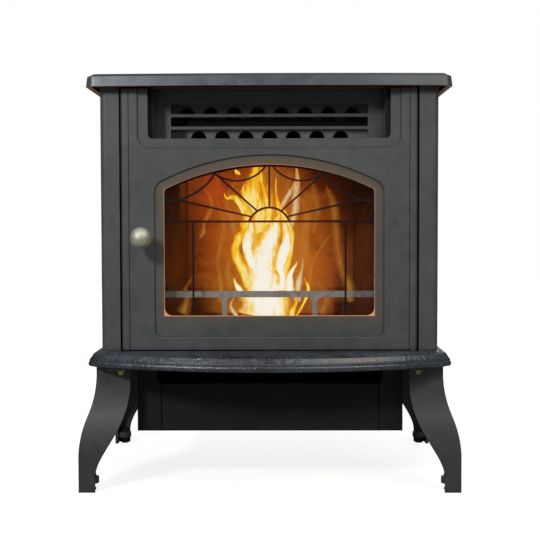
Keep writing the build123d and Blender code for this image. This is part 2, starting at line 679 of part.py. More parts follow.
# ---- fire door -----------------------------------------------------------------------------------
def door_panel():
    """One casting: flat field, round vertical edges, arched window rebate and open-topped air notch."""
    plate = block(-BEAD_X, BEAD_X, DOOR_FACE, DOOR_BACK, DOOR_BOTTOM, DOOR_TOP)
    for side in (-1, 1):
        plate += rod_z(DOOR_BEAD_R, side * BEAD_X, BEAD_Y, DOOR_BOTTOM, DOOR_TOP)
        groove = side * (BEAD_X - DOOR_BEAD_R)
        plate -= block(groove - 0.8, groove + 0.8, DOOR_FACE - 1, DOOR_FACE + 1.2,
                       DOOR_BOTTOM - 1, DOOR_TOP + 1)
    rebate = arched(FRAME_BAND, FRAME_BAND_BOTTOM, FRAME_R)
    plate -= upright(rebate, DOOR_FACE - 1, DOOR_FACE + DOOR_RECESS)
    border = open_top(OUTLET_HALF_W + OUTLET_BORDER, OUTLET_BOTTOM - OUTLET_BORDER, 23)
    plate -= upright(border, DOOR_FACE - 1, DOOR_FACE + DOOR_RECESS)
    front = plate.faces().filter_by_position(Axis.Y, DOOR_FACE - 0.01, DOOR_FACE + 0.01)
    field = front.sort_by(SortBy.AREA)[-1]
    steps = [e for e in field.edges() if abs(e.center().X) < BEAD_X - DOOR_BEAD_R - 1]
    steps = [e for e in steps if DOOR_BOTTOM + 1 < e.center().Z < DOOR_TOP - 1]
    plate = chamfer(steps, DOOR_STEP_BEVEL)
    plate -= upright(open_top(OUTLET_HALF_W, OUTLET_BOTTOM, OUTLET_R), DOOR_FACE - 20, DOOR_BACK + 20)
    plate -= upright(arched(), DOOR_FACE - 1, DOOR_BACK + 1)
    plate += rod_y(8.0, KNOB_X, DOOR_BACK - 1, FRONT_Y - SEAT, KNOB_Z)
    plate -= rod_y(LATCH_R + RUN, KNOB_X, DOOR_FACE - 1, FRONT_Y, KNOB_Z)
    for z0, z1 in ((DOOR_BOTTOM - 1, DOOR_BOTTOM + 16), (DOOR_TOP - 16, DOOR_TOP + 1)):
        plate -= rod_z(PIN_R, BEAD_X, BEAD_Y, z0, z1)
    return plate


def hinge_pins():
    lower = rod_z(PIN_R, BEAD_X, BEAD_Y, BASE_TOP - 9, DOOR_BOTTOM + 16)
    upper = rod_z(PIN_R, BEAD_X, BEAD_Y, DOOR_TOP - 16, BODY_TOP - 4)
    washer = rod_z(6.0, BEAD_X, BEAD_Y, BASE_TOP + SEAT, DOOR_BOTTOM)
    return [lower + washer, upper]


def bar_along(line, width=BURST_BAR):
    """A flat bar of even width that follows a line."""
    return trace(line, width)


def sunburst_lines(side):
    """One half of the pattern in X and Z: rays and scallops, with the rail as the horizon."""
    rail = BURST_RAIL_Z
    hub, tip, edge, rim = 22.4 * side, 97.3 * side, 166.0 * side, 186.0 * side
    return (
        Line((hub, rail + 19.5), (tip, rail + 86)),
        Line((33.8 * side, rail + 9), (edge, rail + 39)),
        ThreePointArc((7.0 * side, rail + 98), (52.3 * side, rail + 73.3), (tip, rail + 86)),
        ThreePointArc((tip, rail + 86), (122.0 * side, rail + 58.5), (edge, rail + 39)),
        ThreePointArc((rim, rail + 36), (172.9 * side, rail + 21), (rim, rail + 6)),
    )


def sunburst_grille():
    """Flat bars: arched frame behind the window's lip, rail, sun, rays, scallops and two long stiles."""
    rail = BURST_RAIL_Z
    half_plane = Pos(0, rail + 100) * Rectangle(500, 200 + BURST_BAR)
    burst = (arched(4.0) - arched(-4.0)) & half_plane
    within = arched(3.0)
    burst += Pos(0, rail) * Rectangle(2 * WINDOW_HALF_W + 4, BURST_BAR + 0.6)
    sun = ThreePointArc((-SUN_HALF, rail), (0, rail + SUN_RISE), (SUN_HALF, rail))
    burst += bar_along(sun, BURST_BAR + 0.6)
    burst += bar_along(Line((0, rail + SUN_RISE), (0, rail + 103)))
    for side in (-1, 1):
        for line in sunburst_lines(side):
            burst += bar_along(line)
        web = Polyline((side * 162, rail + 37), (side * 190, rail + 45), (side * 190, rail + 31), close=True)
        burst += make_face(web.edges())
        burst += Pos(side * (WINDOW_HALF_W - 5), rail) * Rectangle(12, 9)
        stile_low = WINDOW_BOTTOM - 5
        burst += Pos(side * STILE_X, (stile_low + rail) / 2) * Rectangle(BURST_BAR, rail - stile_low)
    return upright(burst & within, DOOR_BACK, DOOR_BACK + BURST_DEPTH)


GLASS_Y = DOOR_BACK + BURST_DEPTH + SEAT
GLASS_BACK = GLASS_Y + GLASS


def door_glass():
    return upright(arched(GLASS_LAP), GLASS_Y, GLASS_BACK)


def glass_gasket():
    """Woven tape folded round the rim of the glass."""
    rim = upright(arched(GLASS_LAP + TAPE) - arched(GLASS_LAP), DOOR_BACK, GLASS_BACK)
    lap = upright(arched(GLASS_LAP + TAPE) - arched(GLASS_LAP - 5), GLASS_BACK, GLASS_BACK + 1)
    return rim + lap


CLIP_ARM = 15.0
CLIP_W = 16.0


def clip(x, z, dx, dz):
    """A stepped clip: its foot stands on the door, its arm holds the glass, (dx, dz) points outwards."""
    out = GLASS_LAP + TAPE + SEAT
    foot = Pos(out + 2.5, 0) * Rectangle(5.0, CLIP_W)
    arm = Pos(out + 5 - CLIP_ARM / 2, 0) * Rectangle(CLIP_ARM, CLIP_W)
    turn = math.degrees(math.atan2(dz, dx))
    place = Pos(x, z) * Rot(0, 0, turn)
    top = GLASS_BACK + 1
    return upright(place * foot, DOOR_BACK, top) + upright(place * arm, top, top + 1.6)


def clip_places():
    half, low, high = WINDOW_HALF_W, WINDOW_BOTTOM, WINDOW_SHOULDER + WINDOW_RISE
    places = [(side * half, z, side, 0) for side in (-1, 1) for z in (low + 60, WINDOW_SHOULDER - 50)]
    places += [(side * 90, low, 0, -1) for side in (-1, 1)]
    return places + [(0, high, 0, 1)]


def glass_clips():
    return [clip(*place) for place in clip_places()]


def clip_screws():
    screws = []
    for x, z, dx, dz in clip_places():
        out = GLASS_LAP + TAPE + SEAT + 2.5
        head_y = GLASS_BACK + 2.6
        head = rod_y(2.4, x + dx * out, head_y, head_y + 1.5, z + dz * out)
        screws.append(head)
    return screws


def door_rope():
    """The heat-proof rope on the door's back, which the front plate presses flat."""
    outer = box_outline(ROPE_HALF_W + ROPE_W / 2, ROPE_BOTTOM - ROPE_W / 2, ROPE_TOP + ROPE_W / 2, 31)
    inner = box_outline(ROPE_HALF_W - ROPE_W / 2, ROPE_BOTTOM + ROPE_W / 2, ROPE_TOP - ROPE_W / 2, 22)
    rope = upright(outer - inner, DOOR_BACK, DOOR_BACK + ROPE_D)
    return fillet(rope.faces().sort_by(Axis.Y)[-1].edges(), 3)


def door_knob():
    """A turned ball on a straight neck with a flared foot."""
    y = DOOR_FACE - KNOB_OUT
    foot = DOOR_FACE - SEAT
    span = math.pi - math.asin(NECK_R / KNOB_R)
    front, middle, neck = [(KNOB_R * math.sin(t), y - KNOB_R * math.cos(t)) for t in (0, span / 2, span)]
    ball = ThreePointArc(front, middle, neck)
    stem = Polyline(neck, (NECK_R, foot - 4), (NECK_R + 2.5, foot), (0, foot), front)
    profile = make_face(ball.edges() + stem.edges())
    return revolve(Pos(KNOB_X, 0, KNOB_Z) * profile, Axis((KNOB_X, 0, KNOB_Z), (0, 1, 0)))


CAM_Y = FRONT_BACK + 2.0 + SEAT


def latch_shaft():
    return rod_y(LATCH_R, KNOB_X, DOOR_FACE - SEAT, CAM_Y + 5, KNOB_Z)


def latch_cam():
    """A flat finger, upright when the door is free and turned outwards behind the catch to hold it."""
    arm = block(KNOB_X - 6, KNOB_X + 6, CAM_Y, CAM_Y + 4, KNOB_Z, KNOB_Z + 30)
    arm = fillet(arm.edges().filter_by(Axis.Y).sort_by(Axis.Z)[-2:], 5)
    hub = rod_y(7.5, KNOB_X, CAM_Y, CAM_Y + 4, KNOB_Z)
    return arm + hub - rod_y(LATCH_R, KNOB_X, CAM_Y - 1, CAM_Y + 5, KNOB_Z)


# ---- warm-air outlet and heat exchanger ----------------------------------------------------------
LOUVRE_BOTTOM = OUTLET_BOTTOM - 7.0


def louvre_grille():
    """A shallow pan let in behind the front plate, with three long slots and rolled-in slot edges."""
    high = BODY_TOP - LOUVRE_HEADROOM
    panel = upright(box_outline(LOUVRE_HALF_W, LOUVRE_BOTTOM, high, 4), FRONT_BACK, LOUVRE_Y + SHEET)
    hollow = box_outline(LOUVRE_HALF_W - SHEET, LOUVRE_BOTTOM + SHEET, high - SHEET, 2.5)
    panel -= upright(hollow, FRONT_BACK - 1, LOUVRE_Y)
    for row in range(3):
        top = SLOT_TOP - row * (SLOT_H + SLOT_BAR)
        rim = box_outline(SLOT_HALF_W + 1.5, top - SLOT_H - 1.5, top + 1.5, SLOT_R + 1.5)
        panel += upright(rim, LOUVRE_Y, LOUVRE_Y + 8)
    for row in range(3):
        top = SLOT_TOP - row * (SLOT_H + SLOT_BAR)
        panel -= upright(box_outline(SLOT_HALF_W, top - SLOT_H, top, SLOT_R), LOUVRE_Y - 1, LOUVRE_Y + 9)
    return panel


def tube_places():
    top = [((k - (TUBES_TOP - 1) / 2) * TUBE_PITCH, TUBE_ROW_TOP) for k in range(TUBES_TOP)]
    low = [((k - (TUBES_TOP - 2) / 2) * TUBE_PITCH, TUBE_ROW_LOW) for k in range(TUBES_TOP - 1)]
    return top + low


def heat_tubes():
    tubes = []
    for x, z in tube_places():
        y0, y1 = TUBE_SHEET_Y - 1, FIREBOX_BACK + 1
        tube = rod_y(TUBE_OD / 2, x, y0, y1, z) - rod_y(TUBE_OD / 2 - TUBE_WALL, x, y0 - 1, y1 + 1, z)
        tubes.append(tube)
    return tubes


# ---- firebox -------------------------------------------------------------------------------------
def wall_half(y, inset):
    """Half the firebox's width at a depth: it narrows towards the back."""
    share = (y - FRONT_BACK) / (FIREBOX_BACK - FRONT_BACK)
    return FIREBOX_FRONT_HALF + (FIREBOX_BACK_HALF - FIREBOX_FRONT_HALF) * share - inset


def tapered(inset, y0, y1, z0, z1):
    """A block that narrows with the firebox, inset from the outside of its side walls."""
    a, b = wall_half(y0, inset), wall_half(y1, inset)
    outline = Polyline((-a, y0), (a, y0), (b, y1), (-b, y1), close=True)
    return flat(make_face(outline.edges()), z0, z1)


CHUTE_RISE = AUGER_TUBE_R / math.cos(math.radians(AUGER_ANGLE))


def auger_frame(s):
    """A place on the auger's axis, with local +Z running down and back and local +Y underneath."""
    angle = math.radians(AUGER_ANGLE)
    place = Pos(0, FIREBOX_BACK + math.cos(angle) * s, AUGER_MOUTH_Z - math.sin(angle) * s)
    return place * Rot(-90 - AUGER_ANGLE, 0, 0)


def auger_rod(radius, s0, s1):
    """A rod on the auger's axis; s runs down and back from where the axis meets the firebox's back."""
    return auger_frame((s0 + s1) / 2) * Cylinder(radius, s1 - s0)


def firebox():
    """Welded shell: deep chamber below, tube chamber above it, set back behind the air outlet."""
    t = FIREBOX_WALL
    shell = tapered(0, FRONT_BACK, FIREBOX_BACK, FIREBOX_FLOOR, SHELF_Z)
    shell += tapered(0, TUBE_SHEET_Y, FIREBOX_BACK, SHELF_Z - t, FIREBOX_TOP)
    shell -= tapered(t, FRONT_BACK - 1, FIREBOX_BACK - t, FLOOR_Z, SHELF_Z - t)
    shell -= tapered(t, TUBE_SHEET_Y + t, FIREBOX_BACK - t, SHELF_Z - t - 1, FIREBOX_TOP - t)
    for x, z in tube_places():
        shell -= rod_y(TUBE_OD / 2 + 0.2, x, TUBE_SHEET_Y - 5, FIREBOX_BACK + 5, z)
    y1 = FIREBOX_BACK - DEFLECTOR_GAP
    intake_hole = (INTAKE_X - INTAKE_R, INTAKE_X + INTAKE_R, INTAKE_Z + INTAKE_R)
    for x0, x1, high in (intake_hole, (*DUCT_X, DUCT_Z[1])):
        shell += block(x0 - DEFLECTOR_LAP, x1 + DEFLECTOR_LAP, y1 - t, y1, FLOOR_Z - 1, high + DEFLECTOR_LAP)
    shell -= auger_rod(AUGER_BORE_R, -60, 60)
    half, y0, y1 = ASH_PORT
    shell -= block(-half, half, y0, y1, FIREBOX_FLOOR - 1, FLOOR_Z + 1)
    shell -= rod_y(INTAKE_R - 2, INTAKE_X, FIREBOX_BACK - 20, FIREBOX_BACK + 5, INTAKE_Z)
    shell -= block(*DUCT_X, FIREBOX_BACK - 20, FIREBOX_BACK + 5, *DUCT_Z)
    return shell - rod_y(4.2, IGNITER_X, FIREBOX_BACK - 20, FIREBOX_BACK + 5, IGNITER_Z)


def back_liner():
    """A cast liner plate against the back wall, with raised courses like brickwork."""
    y1 = FIREBOX_BACK - FIREBOX_WALL
    low, high = FLOOR_Z + LINER_LIFT, BAFFLE_Z - 11
    liner = tapered(FIREBOX_WALL + 1.0, y1 - LINER, y1, low, high)
    joint = (y1 - LINER - 1, y1 - LINER + 2)
    rows = math.ceil((high - low) / LINER_COURSE)
    for row in range(1, rows):
        z = low + row * LINER_COURSE
        liner -= block(-HALF_W, HALF_W, *joint, z - 1.5, z + 1.5)
    for row in range(rows):
        shift = LINER_BRICK / 2 if row % 2 else 0.0
        z = low + row * LINER_COURSE
        for k in range(-2, 3):
            x = k * LINER_BRICK + shift
            if abs(x) < FIREBOX_BACK_HALF - 15:
                liner -= block(x - 1.5, x + 1.5, *joint, z, min(z + LINER_COURSE, high))
    return liner - auger_rod(AUGER_TUBE_R, -60, 60)


def baffle():
    """A plate under the tubes with its sides bent down against the walls."""
    y0, y1 = 60.0, FIREBOX_BACK - FIREBOX_WALL
    low = BAFFLE_Z - 10
    plate = tapered(FIREBOX_WALL, y0, y1, BAFFLE_Z, BAFFLE_Z + 3)
    sides = tapered(FIREBOX_WALL, y0, y1, low, BAFFLE_Z)
    sides -= tapered(FIREBOX_WALL + 2, y0 - 1, y1 + 1, low - 4, BAFFLE_Z)
    return plate + sides


def fire_guard():
    """A flat rail across the mouth of the fire on two posts with curved gussets."""
    half = wall_half(GUARD_Y + 4, FIREBOX_WALL) - SEAT
    rail = Pos(0, GUARD_Z + GUARD_H / 2) * Rectangle(2 * half, GUARD_H)
    for side in (-1, 1):
        post = Pos(side * GUARD_POST_X, (FLOOR_Z + GUARD_Z + 1) / 2) * Rectangle(9.4, GUARD_Z + 1 - FLOOR_Z)
        rail += post
    inner = [v for v in rail.vertices() if abs(v.Y - GUARD_Z) < 0.01 and abs(abs(v.X) - GUARD_POST_X) < 6]
    rail = fillet(inner, 9)
    return upright(rail, GUARD_Y, GUARD_Y + 4)


def burn_pot():
    """A cast cup with sloping walls, a rim, and rows of air holes."""
    top_z = FLOOR_Z + POT_H
    def rect(w, d, z):
        return Pos(0, POT_Y, z) * Rectangle(w, d)
    cup = loft([rect(POT_W - 24, POT_D - 24, FLOOR_Z), rect(POT_W - 10, POT_D - 10, top_z)], ruled=True)
    cup += flat(Pos(0, POT_Y) * RectangleRounded(POT_W, POT_D, 12), top_z - 4, top_z)
    w = POT_WALL * 2
    low, high = rect(POT_W - 24 - w, POT_D - 24 - w, FLOOR_Z + 5), rect(POT_W - 10 - w, POT_D - 10 - w, top_z)
    cup -= loft([low, high], ruled=True)
    for k in range(5):
        for row in range(3):
            cup -= rod_z(2.5, (k - 2) * 14, POT_Y + (row - 1) * 18, FLOOR_Z - 1, FLOOR_Z + 6)
    return cup - rod_y(4.2, IGNITER_X, POT_Y + 20, POT_Y + 80, IGNITER_Z)


def igniter():
    rod = rod_y(4.0, IGNITER_X, POT_Y + 30, FIREBOX_BACK + 24, IGNITER_Z)
    return rod + rod_y(8.0, IGNITER_X, FIREBOX_BACK, FIREBOX_BACK + 10, IGNITER_Z)


def drop_tube():
    """The short spout inside the fire, cut plumb at its mouth and flush against the back liner."""
    spout = auger_rod(AUGER_TUBE_R, -34, 60) - auger_rod(AUGER_BORE_R, -60, 80)
    reach = 2 * AUGER_TUBE_R
    inside = block(-reach, reach, FIREBOX_BACK - 68, FIREBOX_BACK - FIREBOX_WALL, FLOOR_Z, BODY_TOP)
    return spout & inside


# ---- fuel feed -----------------------------------------------------------------------------------
def auger_tube():
    tube = auger_rod(AUGER_TUBE_R, -60, AUGER_LEN)
    bore = auger_rod(AUGER_BORE_R, -70, AUGER_LEN - 4)
    tube -= bore
    behind = block(-100, 100, FIREBOX_BACK, BODY_D, BASE_BOTTOM, BODY_TOP)
    tube = tube & behind
    tube -= auger_rod(AUGER_SHAFT_R + 6, AUGER_LEN - 10, AUGER_LEN + 5)
    y = HOPPER_FRONT + HOPPER_THROAT / 2
    throat = HOPPER_THROAT / 2 - HOPPER_SHEET - 2
    return tube - block(-throat, throat, y - throat, y + throat, auger_z(y) + 5, BODY_TOP)


def auger_z(y):
    """The height of the auger's axis at a depth."""
    return AUGER_MOUTH_Z - (y - FIREBOX_BACK) * math.tan(math.radians(AUGER_ANGLE))


def auger_bushing():
    bush = auger_rod(AUGER_SHAFT_R + 6, AUGER_LEN - 4, AUGER_LEN)
    bush += auger_rod(AUGER_SHAFT_R + 12, AUGER_LEN, AUGER_LEN + 3)
    return bush - auger_rod(AUGER_SHAFT_R + RUN, AUGER_LEN - 12, AUGER_LEN + 6)


def auger_screw():
    """One helical flight on a round shaft."""
    start, end = 12.0, AUGER_LEN - 8.0
    height = end - start
    middle = (AUGER_R + AUGER_SHAFT_R - 2) / 2
    cut = Pos(middle, 0) * Rectangle(AUGER_R - AUGER_SHAFT_R + 2, FLIGHT_THICK)
    count = round(height / AUGER_PITCH * FLIGHT_STEPS)
    turn = 360 * height / AUGER_PITCH / count
    places = [Pos(0, 0, height * k / count) * Rot(0, 0, turn * k) * Rot(90, 0, 0) for k in range(count + 1)]
    flight = loft([place * cut for place in places], ruled=True)
    shaft_low, shaft_high = -6.0, AUGER_LEN + 18.0
    shaft = Pos(0, 0, (shaft_low + shaft_high) / 2 - start) * Cylinder(AUGER_SHAFT_R, shaft_high - shaft_low)
    screw = shaft + flight
    return auger_frame(start) * screw


def auger_motor():
    """Gearbox and motor can on the lower end of the auger."""
    box = auger_rod(26, AUGER_LEN + 3, AUGER_LEN + 26) + auger_rod(20, AUGER_LEN + 26, AUGER_LEN + 50)
    return box - auger_rod(AUGER_SHAFT_R + RUN, AUGER_LEN, AUGER_LEN + 22)


def hopper():
    """Straight bin under the lid, then a funnel down to a square throat over the auger."""
    def frame(grow, half, y0, y1, z):
        width, depth = 2 * (half + grow), y1 - y0 + 2 * grow
        return Pos(0, (y0 + y1) / 2, z) * Rectangle(width, depth)
    y1 = HOPPER_FRONT + HOPPER_THROAT
    half = HOPPER_THROAT / 2
    neck_z = auger_z(HOPPER_FRONT) + 62

    def bin_solid(grow, low, high):
        s = -HOPPER_SHEET if grow else 0
        top = extrude(frame(s, HOPPER_HALF_W, HOPPER_FRONT, HOPPER_BACK, HOPPER_KNEE_Z), high - HOPPER_KNEE_Z)
        cone = loft([frame(s, half, HOPPER_FRONT, y1, neck_z),
                     frame(s, HOPPER_HALF_W, HOPPER_FRONT, HOPPER_BACK, HOPPER_KNEE_Z)], ruled=True)
        neck = extrude(frame(s, half, HOPPER_FRONT, y1, low), neck_z - low)
        return top + cone + neck
    low = auger_z(HOPPER_FRONT) - CHUTE_RISE + 4
    shell = bin_solid(False, low, BODY_TOP)
    flange = block(-HOPPER_HALF_W - 10, HOPPER_HALF_W + 10, HOPPER_FRONT - 8, BODY_D - 2 * SHEET - 1,
                   BODY_TOP - HOPPER_SHEET, BODY_TOP)
    shell += flange
    shell -= bin_solid(True, low - 5, BODY_TOP + 1)
    reach = AUGER_TUBE_R + SEAT
    shell -= auger_frame(AUGER_LEN / 2) * Pos(0, reach, 0) * Box(2 * reach, 2 * reach, 2 * AUGER_LEN)
    return shell - auger_rod(reach, -60, AUGER_LEN + 60)


# ---- combustion blower and flue ------------------------------------------------------------------
def combustion_blower_housing():
    """A scroll that draws from the firebox at its side and blows straight back into the flue collar."""
    x0, x1 = EXHAUST_X - FLUE_HALF_W, EXHAUST_X + FLUE_HALF_W
    outer = FLUE_FAN_R + 10
    low = FLUE_FAN_Z - outer
    high = low + 2 * EXHAUST_R
    collar = BODY_D - 22.0
    w = SCROLL_WALL
    body = rod_x(outer, x0, x1, FAN_Y, FLUE_FAN_Z) + block(x0, x1, FAN_Y, collar, low, high)
    body += block(EXHAUST_X - EXHAUST_R - 6, EXHAUST_X + EXHAUST_R + 6, collar, collar + 3, low - 4, high + 4)
    body += block(DUCT_X[0], x0 + 1, FIREBOX_BACK, FAN_Y + 22, *DUCT_Z)
    body -= rod_x(outer - w, x0 + w, x1 - w, FAN_Y, FLUE_FAN_Z)
    body -= block(x0 + w, x1 - w, FAN_Y, collar + 5, low + w, high - w)
    body -= block(DUCT_X[0] + w, x0 + w + 1, FIREBOX_BACK - 1, FAN_Y + 22 - w, DUCT_Z[0] + w, DUCT_Z[1] - w)
    return body - rod_x(MOTOR_SHAFT_R + RUN, x1 - w - 1, x1 + 1, FAN_Y, FLUE_FAN_Z)


def paddle_wheel(radius, width, blades):
    """A backplate, a hub and flat radial blades, about the X axis from x = 0."""
    wheel = rod_x(radius, 0, 2, 0, 0) + rod_x(9, 0, width, 0, 0)
    for k in range(blades):
        blade = block(1, width, -1, 1, 7, radius)
        wheel += Rot(360 / blades * k, 0, 0) * blade
    return wheel


def combustion_impeller():
    x1 = EXHAUST_X + FLUE_HALF_W - SCROLL_WALL - 3
    wheel = Pos(x1, FAN_Y, FLUE_FAN_Z) * Rot(0, 0, 180) * paddle_wheel(FLUE_FAN_R, 40, 10)
    return wheel + rod_x(MOTOR_SHAFT_R, x1 - 1, EXHAUST_X + FLUE_HALF_W + 16, FAN_Y, FLUE_FAN_Z)


def fan_motor(x0, x1, radius, y, z):
    """A motor can with a cooling cap, its shaft end towards x0."""
    step = 1 if x1 > x0 else -1
    a, b = sorted((x0, x1))
    can = rod_x(radius, a, b, y, z)
    can = chamfer(can.edges().filter_by(GeomType.CIRCLE), 3)
    s0, s1 = sorted((x0 - step, x0 + step * 20))
    return can - rod_x(MOTOR_SHAFT_R + RUN, s0, s1, y, z)


def combustion_motor():
    x0 = EXHAUST_X + FLUE_HALF_W
    return fan_motor(x0, x0 + 66, 38, FAN_Y, FLUE_FAN_Z)


def exhaust_pipe():
    y0 = BODY_D - 19.0
    pipe = rod_y(EXHAUST_R, EXHAUST_X, BODY_D, BACK_OUT, EXHAUST_Z)
    pipe += rod_y(EXHAUST_R - SWAGE, EXHAUST_X, y0, BODY_D, EXHAUST_Z)
    return pipe - rod_y(EXHAUST_R - 2, EXHAUST_X, y0 - 1, BACK_OUT + 1, EXHAUST_Z)


def air_intake_pipe():
    y0, y1 = FIREBOX_BACK, BODY_D + INTAKE_OUT
    pipe = rod_y(INTAKE_R, INTAKE_X, BODY_D, y1, INTAKE_Z)
    pipe += rod_y(INTAKE_R - SWAGE, INTAKE_X, y0, BODY_D, INTAKE_Z)
    pipe += rod_y(INTAKE_R + 8, INTAKE_X, y0, y0 + 3, INTAKE_Z)
    return pipe - rod_y(INTAKE_R - 2, INTAKE_X, y0 - 1, y1 + 1, INTAKE_Z)


# ---- room-air blower -----------------------------------------------------------------------------
def convection_blower_housing():
    """A scroll on a foot, open at one side to breathe and at the top to blow up behind the firebox."""
    x0, x1 = ROOM_FAN_X - ROOM_HALF_W, ROOM_FAN_X + ROOM_HALF_W
    w = SHEET
    y_front = FAN_Y - ROOM_SCROLL_R
    top = ROOM_FAN_Z + 80
    body = rod_x(ROOM_SCROLL_R, x0, x1, FAN_Y, ROOM_FAN_Z) + block(x0, x1, y_front, FAN_Y, ROOM_FAN_Z, top)
    body += block(x0, x1, FAN_Y - 20, FAN_Y + 20, BASE_TOP, ROOM_FAN_Z - 45)
    body -= rod_x(ROOM_SCROLL_R - w, x0 + w, x1 - w, FAN_Y, ROOM_FAN_Z)
    body -= block(x0 + w, x1 - w, y_front + w, FAN_Y - w, ROOM_FAN_Z, top + 1)
    body -= rod_x(30, x1 - w - 1, x1 + 1, FAN_Y, ROOM_FAN_Z)
    return body - rod_x(MOTOR_SHAFT_R + RUN, x0 - 1, x0 + w + 1, FAN_Y, ROOM_FAN_Z)


def convection_wheel():
    """A squirrel cage: backplate, forward-curved blades, and a ring at the breathing end."""
    x0 = ROOM_FAN_X - ROOM_HALF_W + SHEET + 3
    width = 2 * ROOM_HALF_W - 2 * SHEET - 10
    wheel = rod_x(ROOM_FAN_R, x0, x0 + 2, 0, 0) + rod_x(10, x0, x0 + 14, 0, 0)
    ring = rod_x(ROOM_FAN_R, x0 + width - 3, x0 + width, 0, 0)
    wheel += ring - rod_x(ROOM_FAN_R - 4, x0 + width - 4, x0 + width + 1, 0, 0)
    for k in range(24):
        blade = block(x0 + 1, x0 + width - 1, -0.8, 0.8, -5, 5)
        wheel += Rot(15 * k, 0, 0) * Pos(0, 0, ROOM_FAN_R - 5.5) * Rot(28, 0, 0) * blade
    wheel = Pos(0, FAN_Y, ROOM_FAN_Z) * wheel
    return wheel + rod_x(MOTOR_SHAFT_R, x0 - 22, x0 + 1, FAN_Y, ROOM_FAN_Z)


def convection_motor():
    x0 = ROOM_FAN_X - ROOM_HALF_W
    return fan_motor(x0, x0 - 46, 30, FAN_Y, ROOM_FAN_Z)


# ---- controls and power --------------------------------------------------------------------------
def control_panel():
    """A moulded plate on the side sheet with a closed board housing behind it."""
    y0, y1 = CONTROL_Y
    z0, z1 = CONTROL_Z
    plate = block(HALF_W, HALF_W + 2.5, y0, y1, z0, z1)
    plate = fillet(plate.edges().filter_by(Axis.X), 6)
    case = block(HALF_W - 38, HALF_W + 1, y0 + 10, y1 - 10, z0 + 10, z1 - 10)
    panel = plate + case
    for z in DIAL_Z:
        panel -= rod_x(3.0 + RUN, HALF_W - 10, HALF_W + 3, DIAL_Y, z)
    return panel


def control_knob(z):
    """A fluted dial with a pointer rib, on its own spindle."""
    face = HALF_W + 2.5 + SEAT
    knob = rod_x(DIAL_R, face, face + 13, DIAL_Y, z)
    for k in range(12):
        knob -= Pos(0, DIAL_Y, z) * Rot(30 * k + 15, 0, 0) * rod_x(2.2, face + 3, face + 14, 0, DIAL_R + 0.6)
    knob += block(face + 12, face + 15, DIAL_Y - 1.5, DIAL_Y + 1.5, z, z + DIAL_R - 1)
    return knob + rod_x(3.0, HALF_W - 9, face + 1, DIAL_Y, z)


def power_inlet():
    """A three-pin appliance inlet set in the back sheet."""
    x, z = INLET_AT
    body = block(x - 13.5, x + 13.5, BODY_D - 18, BODY_D + 2, z - 10.5, z + 10.5)
    body += block(x - 18, x + 18, BODY_D, BODY_D + 2, z - 15, z + 15)
    body -= block(x - 11, x + 11, BODY_D - 14, BODY_D + 3, z - 7.5, z + 7.5)
    for k in (-1, 0, 1):
        body += block(x + 6 * k - 1, x + 6 * k + 1, BODY_D - 15, BODY_D, z, z + 4.5)
    return body


# ---- ash box -------------------------------------------------------------------------------------
def ash_box():
    """Sheet box hung under the base plate, its face cut out for the drawer and for fingers above it."""
    w = SHEET
    box = block(-ASH_HALF_W, ASH_HALF_W, ASH_FRONT, ASH_BACK, ASH_BOTTOM, BASE_BOTTOM)
    box -= block(-ASH_HALF_W + w, ASH_HALF_W - w, ASH_FRONT + w, ASH_BACK - w,
                 ASH_BOTTOM + w, BASE_BOTTOM + 1)
    gap = SLIDE + 0.5
    box -= block(-DRAWER_HALF_W - gap, DRAWER_HALF_W + gap, ASH_FRONT - 1, ASH_FRONT + w + 1,
                 ASH_BOTTOM + w, DRAWER_TOP + 1)
    grip = box_outline(DRAWER_HALF_W + 8, DRAWER_TOP, BASE_BOTTOM + 30, 10)
    box -= upright(grip, ASH_FRONT - 1, ASH_FRONT + w + 1)
    for side in (-1, 1):
        x0, x1 = sorted((side * (TRAY_HALF_W + SLIDE), side * (TRAY_HALF_W + SLIDE + w)))
        box += block(x0, x1, ASH_FRONT + w + 12, ASH_BACK - w, ASH_BOTTOM + w, ASH_BOTTOM + 18)
    return box



def ash_drawer():
    """A pan behind a flush front whose top edge folds back as the pull."""
    low = ASH_BOTTOM + SHEET + SEAT
    front = block(-DRAWER_HALF_W, DRAWER_HALF_W, ASH_FRONT, ASH_FRONT + SHEET, low, DRAWER_TOP)
    fold = block(-DRAWER_HALF_W, DRAWER_HALF_W, ASH_FRONT, ASH_FRONT + 10, DRAWER_TOP - SHEET, DRAWER_TOP)
    back = ASH_BACK - 20
    pan = block(-TRAY_HALF_W, TRAY_HALF_W, ASH_FRONT, back, low, TRAY_TOP)
    pan -= block(-TRAY_HALF_W + 1.5, TRAY_HALF_W - 1.5, ASH_FRONT + SHEET, back - 1.5,
                 low + 1.5, TRAY_TOP + 1)
    return front + fold + pan


# ---- write every node ----------------------------------------------------------------------------
os.makedirs("parts", exist_ok=True)

right_side = side_panel_right()
save("side_panel_right", right_side)
save("side_panel_left", mirror(side_panel(), about=Plane.YZ))
corner_leg = leg()
for leg_name, x_sign, y_sign, y_shift in leg_frames():
    save(leg_name, place_leg(corner_leg, x_sign, y_sign, y_shift))

for maker in (
    top_plate, hopper_gasket, hopper_lid, base_plate, back_panel, front_frame, latch_catch,
    door_panel, sunburst_grille, door_glass, glass_gasket, door_rope, door_knob, latch_shaft,
    latch_cam, louvre_grille, firebox, back_liner, baffle, fire_guard, burn_pot, igniter,
    drop_tube, auger_tube, auger_bushing, auger_screw, auger_motor, hopper,
    combustion_blower_housing, combustion_impeller, combustion_motor, exhaust_pipe,
    air_intake_pipe, convection_blower_housing, convection_wheel, convection_motor,
    control_panel, power_inlet, ash_box, ash_drawer,
):
    save(maker.__name__, maker())

